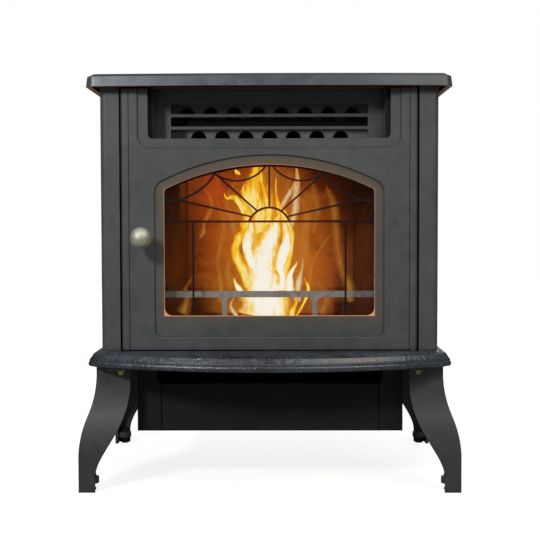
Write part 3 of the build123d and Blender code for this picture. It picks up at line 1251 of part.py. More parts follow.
for maker in (
    lid_hinge_brackets, lid_hinge_pins, leg_bolts, levelling_bolts, panel_screws, hinge_pins,
    glass_clips, clip_screws, heat_tubes,
):
    save(maker.__name__, *maker())

save("heat_knob", control_knob(DIAL_Z[1]))
save("fan_knob", control_knob(DIAL_Z[0]))
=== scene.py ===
# %% [markdown]
# # A pellet stove, dressed and lit
#
# The stove is already built as exact parts: castings, bent sheet, tubes, fans and hinges. This
# lesson gives those parts the look of the real thing. It softens the edges of the castings, mixes
# one finish for each real material, makes the few things that are not rigid parts (the rope seal,
# the tape round the glass, the fuel and the flame), and sets up a plain studio.
#
# Everything is in metres, with the front of the stove facing -Y and the floor at z = 0.

# %% Load the frame
import json
import math
import random

import bmesh
import bpy
from mathutils import Matrix, Vector, noise


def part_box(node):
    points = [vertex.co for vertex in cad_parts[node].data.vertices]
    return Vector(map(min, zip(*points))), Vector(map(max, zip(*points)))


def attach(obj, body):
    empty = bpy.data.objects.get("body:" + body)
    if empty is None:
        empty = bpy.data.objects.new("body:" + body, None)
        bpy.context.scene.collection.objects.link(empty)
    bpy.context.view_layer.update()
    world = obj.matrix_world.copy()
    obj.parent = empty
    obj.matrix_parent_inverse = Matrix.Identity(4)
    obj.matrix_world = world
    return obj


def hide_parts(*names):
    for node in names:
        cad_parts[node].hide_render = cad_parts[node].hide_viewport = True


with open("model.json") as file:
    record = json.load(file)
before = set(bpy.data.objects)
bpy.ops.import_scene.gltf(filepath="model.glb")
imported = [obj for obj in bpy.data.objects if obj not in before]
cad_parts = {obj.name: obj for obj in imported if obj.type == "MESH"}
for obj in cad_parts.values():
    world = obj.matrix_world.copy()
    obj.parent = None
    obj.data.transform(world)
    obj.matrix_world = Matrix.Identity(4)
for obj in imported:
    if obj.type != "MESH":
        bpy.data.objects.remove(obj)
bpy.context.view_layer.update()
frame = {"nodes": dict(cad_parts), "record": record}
nodes = frame["nodes"]
MM = 0.001

# %% [markdown]
# ## Three small helpers
#
# Colours are written as the hex values that a paint chart would give. Blender works in linear
# light, so one function turns a hex colour to linear. A material is a small graph, so a second
# function adds any node with its settings and its inputs, and a graph reads as a list of such
# lines. A Map Range node takes, in order, the value, the range it comes from, and the range it goes
# to. A third function starts a material.

# %% Colour and node helpers
def linear(hex_colour):
    """An sRGB hex colour as linear RGBA."""
    values = [int(hex_colour[i:i + 2], 16) / 255 for i in (1, 3, 5)]
    return (*(v / 12.92 if v <= 0.04045 else ((v + 0.055) / 1.055) ** 2.4 for v in values), 1.0)


def add(tree, kind, inputs=None, stops=(), **settings):
    """One node. An input takes a value, a hex colour, a socket, or a node, meaning its first live output.

    Inputs are named, or numbered where several share a name. A colour ramp takes (place, hex) stops.
    """
    node = tree.nodes.new(kind)
    for name, value in settings.items():
        setattr(node, name, value)
    for key, source in (inputs or {}).items():
        if isinstance(source, bpy.types.Node):
            source = next(socket for socket in source.outputs if socket.enabled)
        if isinstance(source, bpy.types.NodeSocket):
            tree.links.new(source, node.inputs[key])
        else:
            node.inputs[key].default_value = linear(source) if isinstance(source, str) else source
    for index, (place, colour) in enumerate(stops):
        band = node.color_ramp.elements
        element = band[index] if index < len(band) else band.new(place)
        element.position = place
        element.color = linear(colour)
    return node


def blank(name):
    """A new material and its empty graph."""
    material = bpy.data.materials.new(name)
    material.use_nodes = True
    material.node_tree.nodes.clear()
    print("finish", name)
    return material, material.node_tree


# %% [markdown]
# ## Where the window is
#
# Firelight is painted round the window, as a warm tint on the paint and as a glow on its inner edge.
# Both could be painted on by hand, but then they would not follow the outline exactly. Here they are
# worked out from the distance to it: straight sides, a straight foot, and a top that is an arc. A
# parabola is close enough to the arc, and needs only one multiplication.

# %% Distance from the window
WINDOW_HALF_W = 0.1886
WINDOW_FOOT = 0.3136
WINDOW_TOP = 0.585
WINDOW_BOW = 1.25
FIRELIGHT_REACH = 0.025


def near_window(tree, split):
    """1 at the edge of the door window, falling to 0 where the painted firelight ends. Split is a Separate
    XYZ node.
    """
    side = add(tree, "ShaderNodeMath", {0: split.outputs["X"]}, operation="ABSOLUTE")
    bow = add(tree, "ShaderNodeMath", {0: side, 1: side}, operation="MULTIPLY")
    arch = add(tree, "ShaderNodeMath", {0: bow, 1: WINDOW_BOW, 2: split.outputs["Z"]},
               operation="MULTIPLY_ADD")
    past_side = add(tree, "ShaderNodeMapRange", {0: side, 1: WINDOW_HALF_W, 2: WINDOW_HALF_W + FIRELIGHT_REACH})
    past_top = add(tree, "ShaderNodeMapRange", {0: arch, 1: WINDOW_TOP, 2: WINDOW_TOP + FIRELIGHT_REACH})
    past_foot = add(tree, "ShaderNodeMapRange",
                    {0: split.outputs["Z"], 1: WINDOW_FOOT - FIRELIGHT_REACH, 2: WINDOW_FOOT, 3: 1.0, 4: 0.0})
    tall = add(tree, "ShaderNodeMath", {0: past_top, 1: past_foot}, operation="MAXIMUM")
    past = add(tree, "ShaderNodeMath", {0: past_side, 1: tall}, operation="MAXIMUM")
    return add(tree, "ShaderNodeMapRange", {0: past, 3: 1.0, 4: 0.0})


# %% [markdown]
# ## The colour of stove paint
#
# The body is sprayed with a matt-to-satin, heat-proof silicone paint. What the eye gets is a dark
# charcoal that is a little uneven from spraying. A photograph of paint would bring its own light
# along, so the colour comes from two noises instead: clouds as wide as a hand, and blots as wide as
# a thumb. Round the window a warm tint is painted as firelight, stronger high up. The coarse coat on
# the base plate has painted glints: paler specks on the tops of its grain. The top plate is brown
# under its lip, partly the bare metal's colour and partly painted warm light, and its upper face is
# painted nearly black as shade.

# %% Colour of the paint
UNDERSIDE = 0.737
# A pale blue grey for painted glints on the tops of the grain.
GRAIN_GLINT = "#8d97a6"
# A near black for painted shade on the top plate's upper face.
UPPER_FACE_SHADE = "#17191b"


def paint_coat(tree, where, split, window, fine, light, dark, speck, firelight_tint, under, upper_z):
    """The colour of the paint before the painted shade of its creases, and the small cloud that its sheen
    follows.
    """
    drift = add(tree, "ShaderNodeTexNoise",
                {"Vector": where, "Scale": 1 / (120 * MM), "Detail": 3.0, "Roughness": 0.5})
    cloud = add(tree, "ShaderNodeTexNoise",
                {"Vector": where, "Scale": 1 / (22 * MM), "Detail": 4.0, "Roughness": 0.6})
    both = add(tree, "ShaderNodeMath", {0: drift, 1: cloud}, operation="ADD")
    mixed = add(tree, "ShaderNodeMapRange", {0: both, 1: 0.75, 2: 1.3})
    colour = add(tree, "ShaderNodeValToRGB", {0: mixed}, stops=[(0.0, dark), (1.0, light)])
    # Painted highlight: paler bluish specks on the tops of the grain stand in for glints.
    if speck:
        dots = add(tree, "ShaderNodeMapRange", {0: fine, 1: 0.58, 2: 0.75, 4: speck})
        colour = add(tree, "ShaderNodeMix", {0: dots, 6: colour, 7: GRAIN_GLINT}, data_type="RGBA")
    # Painted firelight: a warm tint round the window, stronger high up.
    if firelight_tint:
        rising = add(tree, "ShaderNodeMapRange", {0: split.outputs["Z"], 1: 0.46, 2: 0.60, 3: 0.5, 4: 1.0})
        firelight_tone = add(tree, "ShaderNodeMath", {0: window, 1: rising}, operation="MULTIPLY")
        colour = add(tree, "ShaderNodeMix", {0: firelight_tone, 6: colour, 7: firelight_tint}, data_type="RGBA")
    # Painted shade: above the top plate's edge the upper face is painted nearly black.
    if upper_z:
        above = add(tree, "ShaderNodeMapRange",
                    {0: split.outputs["Z"], 1: upper_z - MM, 2: upper_z + MM, 4: 0.9})
        colour = add(tree, "ShaderNodeMix", {0: above, 6: colour, 7: UPPER_FACE_SHADE}, data_type="RGBA")
    # Under the lip the paint is brown: partly the bare metal's colour, partly painted warm light.
    if under:
        faces = add(tree, "ShaderNodeTexCoord").outputs["Normal"]
        lie = add(tree, "ShaderNodeSeparateXYZ", {0: faces})
        down = add(tree, "ShaderNodeMapRange", {0: lie.outputs["Z"], 1: -0.6, 2: -0.35, 3: 1.0, 4: 0.0})
        low = add(tree, "ShaderNodeMapRange",
                  {0: split.outputs["Z"], 1: UNDERSIDE - MM, 2: UNDERSIDE + MM, 3: 1.0, 4: 0.0})
        brown_and_warm_light_under = add(tree, "ShaderNodeMath", {0: low, 1: down}, operation="MULTIPLY")
        colour = add(tree, "ShaderNodeMix", {0: brown_and_warm_light_under, 6: colour, 7: under}, data_type="RGBA")
    return colour, cloud


# %% [markdown]
# ## Firelight on the paint
#
# The lamps in the fire light what they can reach. The firelight on the bare edge of the window and
# on the bars of the sunburst, which stand close to the gas, is painted on instead: a finish that gives
# off a little light there, which would stay in a model exported without lamps.

# %% Firelight
BARS_BEFORE_FLAME = (0, -0.19, 0.48)


def paint_glow(tree, where, split, window, glow, bar_firelight):
    """How strongly firelight shows on the paint: along the window's rim, or on bars before the flame."""
    if bar_firelight:
        away = add(tree, "ShaderNodeVectorMath", {0: where, 1: BARS_BEFORE_FLAME}, operation="DISTANCE")
        return add(tree, "ShaderNodeMapRange", {0: away, 1: 0.03, 2: 0.12, 3: bar_firelight, 4: bar_firelight * 0.05})
    lip = add(tree, "ShaderNodeMapRange", {0: window, 1: 0.955, 2: 0.99, 4: glow})
    foot = add(tree, "ShaderNodeMapRange", {0: split.outputs["Z"], 1: 0.31, 2: 0.35, 3: 1.0, 4: 0.55})
    return add(tree, "ShaderNodeMath", {0: lip, 1: foot}, operation="MULTIPLY")


# %% [markdown]
# ## The skin of the paint
#
# On the castings the paint follows a sand-cast skin: low ripples some centimetres long, and fine
# pits. Sheet is flatter. So one recipe is used with different ripple and grain, always measured in
# millimetres. The real grain is a few tenths of a millimetre, too fine to show from two metres, so
# it is drawn about 1 mm wide. The creases are darkened with painted shade where the Ambient
# Occlusion node finds them. The Bevel node rounds the sharp edges in the shading alone and leaves the
# exact mesh as it is, so that edges catch a thin line of light, as those of a painted casting do.

# %% Stove paint
def stove_paint(name, light, dark, rough=(0.42, 0.56), grain_mm=1.1, grain=0.10, ripple_mm=0.0, ripple=0.0,
                speck=0.0, firelight_tint=None, gloss=0.4, edge_mm=0.8, under=None, upper_z=None, crease=(0.3, 0.85),
                glow=0.0, bar_firelight=0.0, nook_mm=8):
    """Silicone stove paint: colour drift, sandy grain, painted shade in the creases and the ripple of the
    metal under it.
    """
    material, tree = blank(name)
    where = add(tree, "ShaderNodeTexCoord").outputs["Object"]
    split = add(tree, "ShaderNodeSeparateXYZ", {0: where})
    fine = add(tree, "ShaderNodeTexNoise",
               {"Vector": where, "Scale": 1 / (grain_mm * MM), "Detail": 2.0, "Roughness": 0.7})
    window = near_window(tree, split) if firelight_tint else None
    colour, cloud = paint_coat(tree, where, split, window, fine, light, dark, speck, firelight_tint, under, upper_z)
    # Painted shade: where the Ambient Occlusion node finds a crease, the colour is darkened towards near
    # black.
    nook = add(tree, "ShaderNodeAmbientOcclusion", {"Distance": nook_mm * MM}, samples=8)
    shut, bare = crease
    crease_shade = add(tree, "ShaderNodeMapRange", {0: nook.outputs["AO"], 1: shut, 2: bare, 3: 0.8, 4: 0.0})
    colour = add(tree, "ShaderNodeMix", {0: crease_shade, 6: colour, 7: "#0a0a0a"}, data_type="RGBA")
    skin = add(tree, "ShaderNodeBevel", {"Radius": edge_mm * MM}, samples=4)
    skin = add(tree, "ShaderNodeBump",
               {"Height": fine, "Normal": skin, "Strength": grain, "Distance": 0.4 * MM})
    if ripple:
        waves = add(tree, "ShaderNodeTexNoise", {"Vector": where, "Scale": 1 / (ripple_mm * MM),
                                                 "Detail": 2.0, "Roughness": 0.45, "Distortion": 0.4})
        skin = add(tree, "ShaderNodeBump",
                   {"Height": waves, "Normal": skin, "Strength": ripple, "Distance": 4 * MM})
    sheen = add(tree, "ShaderNodeMapRange", {0: cloud, 1: 0.3, 2: 0.7, 3: rough[0], 4: rough[1]})
    look = {"Base Color": colour, "Roughness": sheen, "Normal": skin, "Specular IOR Level": gloss}
    # Painted firelight: the finish gives off light on the window's rim or on the sunburst's bars.
    if glow or bar_firelight:
        look["Emission Strength"] = paint_glow(tree, where, split, window, glow, bar_firelight)
        look["Emission Color"] = "#9c3410" if bar_firelight else "#efae70"
    add(tree, "ShaderNodeOutputMaterial", {0: add(tree, "ShaderNodeBsdfPrincipled", look)})
    return material


# %% [markdown]
# ## Nine coats of paint
#
# The paint is one product, and the metal under it, the wear and some painted light and shade make
# the difference. Each coat below names its metal, and its comment says what the eye gets from it. The
# numbers in brackets are the roughness of the shiniest and the dullest patches.

# %% Mix the paints
# Even charcoal with a long, low ripple that bends the highlights a little. Round the window a warm
# tint is painted as firelight, and the window's inner edge has a painted glow.
door_paint = stove_paint("silicone_paint_firelit_round_window", "#46484a", "#3b3d3e", ripple_mm=90,
                         ripple=0.05, firelight_tint="#5a493a", glow=0.6, crease=(0.4, 0.95))
# Bluish and smoother, for hands and cloths have polished it, so the edge shows a soft bright line.
# Under the lip it is brown, partly the bare metal's colour and partly painted warm light, and above
# the edge it is painted nearly black as shade.
top_paint = stove_paint("silicone_paint_on_cast_top", "#434950", "#31363c", (0.3, 0.44), 1.2, 0.08, 34, 0.14,
                        under="#a8682f", upper_z=0.7395, gloss=0.5)
# Coarse and lumpy, like hammered iron, with small painted glints on its grain and painted shade
# blackening its hollows.
base_paint = stove_paint("textured_paint_on_cast_base", "#353b43", "#181b20", (0.22, 0.38), 2.4, 0.6, 16,
                         0.35, speck=0.45, gloss=0.6, crease=(0.5, 0.98), nook_mm=12)
# Darker and a little greener than the panels, with a gentle ripple down each leg.
leg_paint = stove_paint("silicone_paint_on_cast_leg", "#373938", "#2b2d2c", (0.42, 0.56), 1.2, 0.14, 60, 0.12)
# Flat and even: bent sheet has no ripple, only the grain of the spray.
sheet_paint = stove_paint("silicone_paint_on_sheet", "#46494a", "#3c3f40", (0.42, 0.55), 0.9, 0.06)
# Matt black that gives back almost nothing, on the ash box and the frame behind the door.
black_paint = stove_paint("matt_black_paint_on_sheet", "#1a1b1a", "#121312", (0.5, 0.65), 0.9, 0.08,
                          gloss=0.18)
# Deep black bars with crisp edges, with a dull red glow of painted firelight in the middle of the sunburst.
burst_paint = stove_paint("matt_black_paint_on_cut_bar", "#0f0e0e", "#080707", (0.55, 0.7), 0.8, 0.08,
                          gloss=0.12, edge_mm=0.3, bar_firelight=0.3)
# Plain matt black pipe, a shade paler than the sheet for its dust.
flue_paint = stove_paint("matt_black_stove_pipe_paint", "#1d1d1e", "#141415", (0.5, 0.65), 0.8, 0.06)
# Baked enamel: nearly black but glossy, so a motor can shows a clear highlight down its side.
motor_paint = stove_paint("stoved_black_enamel_on_motor_can", "#161617", "#0e0e0f", (0.3, 0.4), 1.0, 0.05)

# %% [markdown]
# ## Bare and plated metals
#
# Metal shows mostly what it reflects, so its metallic value is 1 and its base colour is the tint of
# its reflections. What tells one metal from another is how its surface was made, and that is in
# the roughness, the clouds in the plating and the grain. Each could be a recipe of its own, but they
# differ only in colour and sizes, so one recipe serves. Scratches and plating grain are a tenth of a
# millimetre or less, and are drawn near 1 mm so that they show at all.

# %% Recipe for metal
def metal(name, light, dark, rough, cloud_mm, grain_mm, grain, stretch=(1, 1, 1)):
    """A metal whose plate drifts between two colours, with scratches or grain of a stated size."""
    material, tree = blank(name)
    where = add(tree, "ShaderNodeTexCoord").outputs["Object"]
    where = add(tree, "ShaderNodeMapping", {"Vector": where, "Scale": stretch})
    cloud = add(tree, "ShaderNodeTexNoise",
                {"Vector": where, "Scale": 1 / (cloud_mm * MM), "Detail": 4.0, "Roughness": 0.6})
    colour = add(tree, "ShaderNodeValToRGB", {0: cloud}, stops=[(0.35, dark), (0.65, light)])
    fine = add(tree, "ShaderNodeTexNoise",
               {"Vector": where, "Scale": 1 / (grain_mm * MM), "Detail": 3.0, "Roughness": 0.7})
    skin = add(tree, "ShaderNodeBump", {"Height": fine, "Strength": grain, "Distance": 0.3 * MM})
    sheen = add(tree, "ShaderNodeMapRange", {0: fine, 1: 0.3, 2: 0.7, 3: rough - 0.06, 4: rough + 0.08})
    shader = add(tree, "ShaderNodeBsdfPrincipled",
                 {"Base Color": colour, "Roughness": sheen, "Normal": skin, "Metallic": 1.0})
    add(tree, "ShaderNodeOutputMaterial", {0: shader})
    return material


# %% Mix the metals
# Bead-blasted and nickel plated: a broad, milky, faintly yellow highlight and no picture of the room.
nickel = metal("satin_nickel_plate_on_knob", "#c0bfb0", "#afae9f", 0.6, 9, 0.8, 0.10)
# Turned on a lathe: fine rings, packed closely along Z, that break the highlight up.
turned_steel = metal("turned_steel", "#a9aaa6", "#979894", 0.32, 14, 0.7, 0.2, (1, 1, 6))
# Bright zinc: bluish and fairly sharp, with cloudy patches.
plated_steel = metal("bright_zinc_plate_on_steel", "#a6a9ab", "#8f9396", 0.36, 10, 0.8, 0.12)
# Zinc with a yellow passivate: patches of green gold, duller than the bright plate.
yellow_zinc = metal("yellow_zinc_passivate_on_bolt", "#a09a62", "#7d7745", 0.42, 5, 0.7, 0.12)
# Zinc dyed black: a screw head that is dark but still glints.
black_zinc = metal("black_zinc_passivate_on_screw", "#3b3c3e", "#28292b", 0.4, 6, 0.7, 0.12)
# Hot-dipped sheet: pale grey, dull, with soft crystals about a centimetre wide.
galvanised = metal("galvanised_sheet", "#a2a7a9", "#868b8f", 0.45, 12, 3.0, 0.06)
# Mild steel that the fuel has rubbed: brownish, and shiny where it is scratched most.
auger_steel = metal("mild_steel_polished_by_pellets", "#8f8c86", "#6f6b65", 0.38, 14, 1.0, 0.2)
# Aluminised sheet for the blowers: an even, soft grey that stays clean in the heat.
wheel_steel = metal("aluminised_steel_fan_wheel", "#8d8f90", "#75777a", 0.42, 10, 0.9, 0.1)
# A nickel alloy tube that has glowed: straw and brown heat stains.
igniter_alloy = metal("heat_stained_alloy_tube", "#8a7f70", "#5c4c3e", 0.42, 8, 0.8, 0.15)

# %% [markdown]
# ## The firebox
#
# Steel that has been red hot loses its paint and turns brown. In the picture the walls are lit from
# the flame in the middle: orange round it, dark brown at the far left. The lamps do most of this. The
# finish helps with brown scale, darkened high up by soot and painted shade and towards the sides by
# painted shade, and with a weak glow close to the flame, which a model exported without lamps would
# keep. Above the firebox the same sheet is the tube plate behind the louvre, cool and grey, with pale
# bands of painted light between the tubes and a dark band of painted shade between the rows. It is
# one part, so it can't have two materials without cutting its mesh, and one recipe changes over at a
# height instead.

# %% Scale and soot
FLAME_MIDDLE = (0.0, -0.0355, 0.40)
ROOF = 0.60
BACK_SHEET = 0.079


def scale_colour(tree, split, scale, light, dark, soot_and_shade_high, shade_at_sides):
    """Brown scale, darkened by soot and painted shade high up and by painted shade at the sides, and grey
    tube plate with painted light and shade above the firebox roof.
    """
    colour = add(tree, "ShaderNodeValToRGB", {0: scale}, stops=[(0.32, dark), (0.5, light), (0.7, dark)])
    # Darker high up: soot and painted shade. Darker towards the sides: painted shade, as the firelight falls
    # off.
    high = add(tree, "ShaderNodeMapRange", {0: split.outputs["Z"], 1: 0.42, 2: ROOF, 4: soot_and_shade_high})
    colour = add(tree, "ShaderNodeMix", {0: high, 6: colour, 7: "#120c08"}, data_type="RGBA")
    side = add(tree, "ShaderNodeMath", {0: split.outputs["X"]}, operation="ABSOLUTE")
    far = add(tree, "ShaderNodeMapRange", {0: side, 1: 0.10, 2: 0.19, 4: shade_at_sides})
    colour = add(tree, "ShaderNodeMix", {0: far, 6: colour, 7: "#150904"}, data_type="RGBA")
    cool = add(tree, "ShaderNodeMapRange", {0: split.outputs["Z"], 1: ROOF, 2: ROOF + 10 * MM})
    rise = add(tree, "ShaderNodeMapRange", {0: split.outputs["Z"], 1: 0.62, 2: 0.71})
    # Painted light and shade on the tube plate: pale bands between the tubes, a dark band between the rows.
    plate = add(tree, "ShaderNodeValToRGB", {0: rise},
                stops=[(0.3, "#63686a"), (0.42, "#101213"), (0.62, "#101213"), (0.72, "#7a7f81")])
    return add(tree, "ShaderNodeMix", {0: cool, 6: colour, 7: plate}, data_type="RGBA")


# %% Glow on the walls
def flame_glow(tree, where, split, scale, strength, reach):
    """Light that falls off from the flame, broken by the scale, and only inside the firebox."""
    away = add(tree, "ShaderNodeVectorMath", {0: where, 1: FLAME_MIDDLE}, operation="DISTANCE")
    near = add(tree, "ShaderNodeMapRange", {0: away, 1: 0.05, 2: reach, 3: 1.0, 4: 0.0})
    below = add(tree, "ShaderNodeMapRange", {0: split.outputs["Z"], 1: 0.598, 2: 0.606, 3: 1.0, 4: 0.0})
    inside = add(tree, "ShaderNodeMapRange", {0: split.outputs["Y"], 1: BACK_SHEET - 0.5 * MM,
                                              2: BACK_SHEET + 0.5 * MM, 3: 1.0, 4: 0.0})
    lit = add(tree, "ShaderNodeMath", {0: near, 1: below}, operation="MULTIPLY")
    lit = add(tree, "ShaderNodeMath", {0: lit, 1: inside}, operation="MULTIPLY")
    lit = add(tree, "ShaderNodeMath", {0: lit, 1: 1.8}, operation="POWER")
    patches = add(tree, "ShaderNodeMapRange",
                  {0: scale, 1: 0.3, 2: 0.7, 3: 0.35 * strength, 4: 1.5 * strength})
    return add(tree, "ShaderNodeMath", {0: lit, 1: patches}, operation="MULTIPLY")


# %% Fired steel
def fired_steel(name, light, dark, soot_and_shade_high, glow, glow_reach=0.24, shade_at_sides=0.8):
    """Scaled steel: brown scale, soot and painted shade with height, painted shade at the sides, and a glow
    that falls off from the flame.
    """
    material, tree = blank(name)
    where = add(tree, "ShaderNodeTexCoord").outputs["Object"]
    split = add(tree, "ShaderNodeSeparateXYZ", {0: where})
    scale = add(tree, "ShaderNodeTexNoise", {"Vector": where, "Scale": 1 / (38 * MM), "Detail": 6.0,
                                             "Roughness": 0.62, "Distortion": 0.6})
    flake = add(tree, "ShaderNodeTexNoise",
                {"Vector": where, "Scale": 1 / (4 * MM), "Detail": 4.0, "Roughness": 0.7})
    skin = add(tree, "ShaderNodeBump", {"Height": flake, "Strength": 0.35, "Distance": 0.8 * MM})
    shader = add(tree, "ShaderNodeBsdfPrincipled", {
        "Base Color": scale_colour(tree, split, scale, light, dark, soot_and_shade_high, shade_at_sides),
        "Normal": skin, "Roughness": 0.72, "Specular IOR Level": 0.3, "Emission Color": "#ff7a14",
        "Emission Strength": flame_glow(tree, where, split, scale, glow, glow_reach)})
    add(tree, "ShaderNodeOutputMaterial", {0: shader})
    return material


# Brown scale on sheet: dark, dull, blotched, and orange only where the flame is near.
firebox_steel = fired_steel("heat_scaled_firebox_steel", "#6b3818", "#3c1b0a", 0.3, 0.35)
# Cast iron right behind the flame: redder, and glowing in patches.
liner_iron = fired_steel("fired_cast_liner", "#94501e", "#5c2b10", 0.25, 0.7)
# The bar in front of the fire: burnt clean to a grey that stands out against the flame.
guard_steel = fired_steel("heat_scaled_guard_bar", "#8a8682", "#67635f", 0.0, 0.02, 0.2, 0.25)

# %% [markdown]
# ## Glass and plastic
#
# The window is clear ceramic glass, faintly amber. Real refraction would be slow and noisy in front
# of a fire, and in a flat pane it can hardly be seen. So the pane is nearly clear by its alpha, and
# keeps a weak gloss and a faint smear that show something is there. The controls are moulded ABS:
# nearly black, with the leather grain of a spark-eroded tool, which takes the shine off. That grain
# is a few tenths of a millimetre and is drawn at 1.2 mm so that it shows. The pointers on the knobs
# are painted white, and they are the only plastic that stands out so far from the side.

# %% Window glass and moulded plastic
POINTER_X = 0.3195


def window_glass(name):
    """Thin ceramic glass: a see-through layer whose weak amber body and gloss stay in front of the fire."""
    material, tree = blank(name)
    where = add(tree, "ShaderNodeTexCoord").outputs["Object"]
    smear = add(tree, "ShaderNodeTexNoise", {"Vector": where, "Scale": 1 / (60 * MM), "Detail": 4.0,
                                             "Roughness": 0.6, "Distortion": 0.8})
    sheen = add(tree, "ShaderNodeMapRange", {0: smear, 1: 0.3, 2: 0.7, 3: 0.04, 4: 0.12})
    body = add(tree, "ShaderNodeMapRange", {0: smear, 1: 0.3, 2: 0.7, 3: 0.03, 4: 0.06})
    shader = add(tree, "ShaderNodeBsdfPrincipled",
                 {"Base Color": "#3a2a1a", "Roughness": sheen, "Alpha": body})
    add(tree, "ShaderNodeOutputMaterial", {0: shader})
    return material


def moulded_plastic(name, light, dark):
    """Moulded ABS in two near shades, with white paint on what stands out past the pointers' foot."""
    material, tree = blank(name)
    where = add(tree, "ShaderNodeTexCoord").outputs["Object"]
    split = add(tree, "ShaderNodeSeparateXYZ", {0: where})
    cloud = add(tree, "ShaderNodeTexNoise",
                {"Vector": where, "Scale": 1 / (40 * MM), "Detail": 2.0, "Roughness": 0.5})
    colour = add(tree, "ShaderNodeValToRGB", {0: cloud}, stops=[(0.3, dark), (0.7, light)])
    pointer = add(tree, "ShaderNodeMapRange", {0: split.outputs["X"], 1: POINTER_X, 2: POINTER_X + 0.4 * MM})
    colour = add(tree, "ShaderNodeMix", {0: pointer, 6: colour, 7: "#dcdcd8"}, data_type="RGBA")
    grain = add(tree, "ShaderNodeTexVoronoi", {"Vector": where, "Scale": 1 / (1.2 * MM)})
    skin = add(tree, "ShaderNodeBump", {"Height": grain, "Strength": 0.15, "Distance": 0.2 * MM})
    shader = add(tree, "ShaderNodeBsdfPrincipled", {"Base Color": colour, "Normal": skin, "Roughness": 0.5})
    add(tree, "ShaderNodeOutputMaterial", {0: shader})
    return material


# Clear, with a hint of amber and soft smears.
glass = window_glass("clear_ceramic_glass")
# Near black, satin, finely grained.
plastic = moulded_plastic("moulded_black_abs", "#1c1d1e", "#141516")

# %% [markdown]
# ## Glass fibre
#
# The seals are glass fibre, braided, woven or knitted, and dyed dark. What the eye gets is a dull,
# hairy grey black with paler tufts, and a little sheen where loose ends catch the light at a slant.
# Real fibre hairs would cost a great deal for seals that are hardly seen, so the threads of each
# strand are bands from a Wave node, in the bump alone. They are drawn 0.5 mm or more apart, several
# times as coarse as the real ones, so that they show.

# %% Fibre finish
def fibre(name, light, dark, thread_mm):
    """Dyed glass fibre: fine threads across the piece, dull, with paler worn tufts."""
    material, tree = blank(name)
    where = add(tree, "ShaderNodeTexCoord").outputs["Object"]
    tuft = add(tree, "ShaderNodeTexNoise",
               {"Vector": where, "Scale": 1 / (6 * thread_mm * MM), "Detail": 3.0, "Roughness": 0.6})
    colour = add(tree, "ShaderNodeValToRGB", {0: tuft}, stops=[(0.3, dark), (0.7, light)])
    thread = add(tree, "ShaderNodeTexWave",
                 {"Vector": where, "Scale": 0.3 / (thread_mm * MM), "Distortion": 2.0})
    skin = add(tree, "ShaderNodeBump",
               {"Height": thread.outputs["Fac"], "Strength": 0.3, "Distance": 0.2 * MM})
    shader = add(tree, "ShaderNodeBsdfPrincipled", {"Base Color": colour, "Normal": skin, "Roughness": 0.9,
                                                    "Specular IOR Level": 0.2, "Sheen Weight": 0.3})
    add(tree, "ShaderNodeOutputMaterial", {0: shader})
    return material


# Grey black with a dry, graphite dullness.
rope_fibre = fibre("graphited_glass_fibre_rope", "#3c3d3e", "#242526", 0.5)
# Woven flat: warmer and paler where the heat has driven off its dye.
tape_fibre = fibre("woven_glass_fibre_tape", "#4a4844", "#2c2b29", 0.6)
# Knitted: the darkest, as it lies in the cool and keeps its dye.
strip_fibre = fibre("knitted_lid_strip", "#333436", "#202122", 0.7)

# %% [markdown]
# ## A finish for every part
#
# The record names a material slot for each CAD part. A table from slot to finish dresses them all
# at once, and a part that nobody thought of would stop the script instead of staying grey.

# %% Dress the CAD parts
finish_of_slot = {
    "cast_iron_charcoal": door_paint, "cast_iron_top": top_paint, "cast_iron_base": base_paint,
    "cast_iron_leg": leg_paint, "sheet_charcoal": sheet_paint, "sheet_black": black_paint,
    "burst_black": burst_paint, "glass_ceramic": glass, "glass_fibre_tape": tape_fibre,
    "nickel_satin": nickel, "steel_turned": turned_steel, "steel_plated": plated_steel,
    "zinc_yellow": yellow_zinc, "zinc_black": black_zinc, "firebox_steel": firebox_steel,
    "liner_cast": liner_iron, "guard_steel": guard_steel, "igniter_alloy": igniter_alloy,
    "galvanised_sheet": galvanised, "auger_steel": auger_steel, "motor_paint": motor_paint,
    "blower_steel": wheel_steel, "flue_black": flue_paint, "control_plastic": plastic,
}
slot_of_node = {part["node"]: part["material_slot"] for part in frame["record"]["subparts"]}
for name, part in nodes.items():
    part.data.materials.clear()
    part.data.materials.append(finish_of_slot[slot_of_node[name]])
print("dressed", len(nodes))

# %% [markdown]
# ## Seals made of glass fibre
#
# Three seals are soft. A braided rope runs round the back of the door and is pressed flat on the
# front plate. Woven tape is folded over the rim of the glass. A knitted strip lies under the hopper
# lid. Fibre seals look alive because of their threads, so the threads are modelled: the rope as
# eight strands that wind both ways and pass over and under each other, the tape and strip as swept
# sections whose width rises and falls with each row of stitches. All three are curves first,
# because a curve with a round or a drawn section gives an even tube without any faces drawn by hand.
# Then they are made meshes, and each takes the place of a plain CAD solid.

# %% Paths, and curves made into pieces
def rounded_loop(half_a, half_b, radius, steps=10):
    """The points of a rounded rectangle about the origin, in order."""
    points = []
    for corner, (sign_a, sign_b) in enumerate(((1, 1), (-1, 1), (-1, -1), (1, -1))):
        for k in range(steps + 1):
            turn = math.pi / 2 * (corner + k / steps)
            points.append(Vector((sign_a * (half_a - radius) + radius * math.cos(turn),
                                  sign_b * (half_b - radius) + radius * math.sin(turn))))
    return points


def spaced(points, step):
    """A closed loop of points at equal steps."""
    ends = points[1:] + points[:1]
    lengths = [(b - a).length for a, b in zip(points, ends)]
    total = sum(lengths)
    count = round(total / step)
    found, index, passed = [], 0, 0.0
    for k in range(count):
        goal = total * k / count
        while passed + lengths[index] < goal:
            passed += lengths[index]
            index += 1
        share = (goal - passed) / max(lengths[index], 1e-9)
        found.append(points[index].lerp(ends[index], share))
    return found


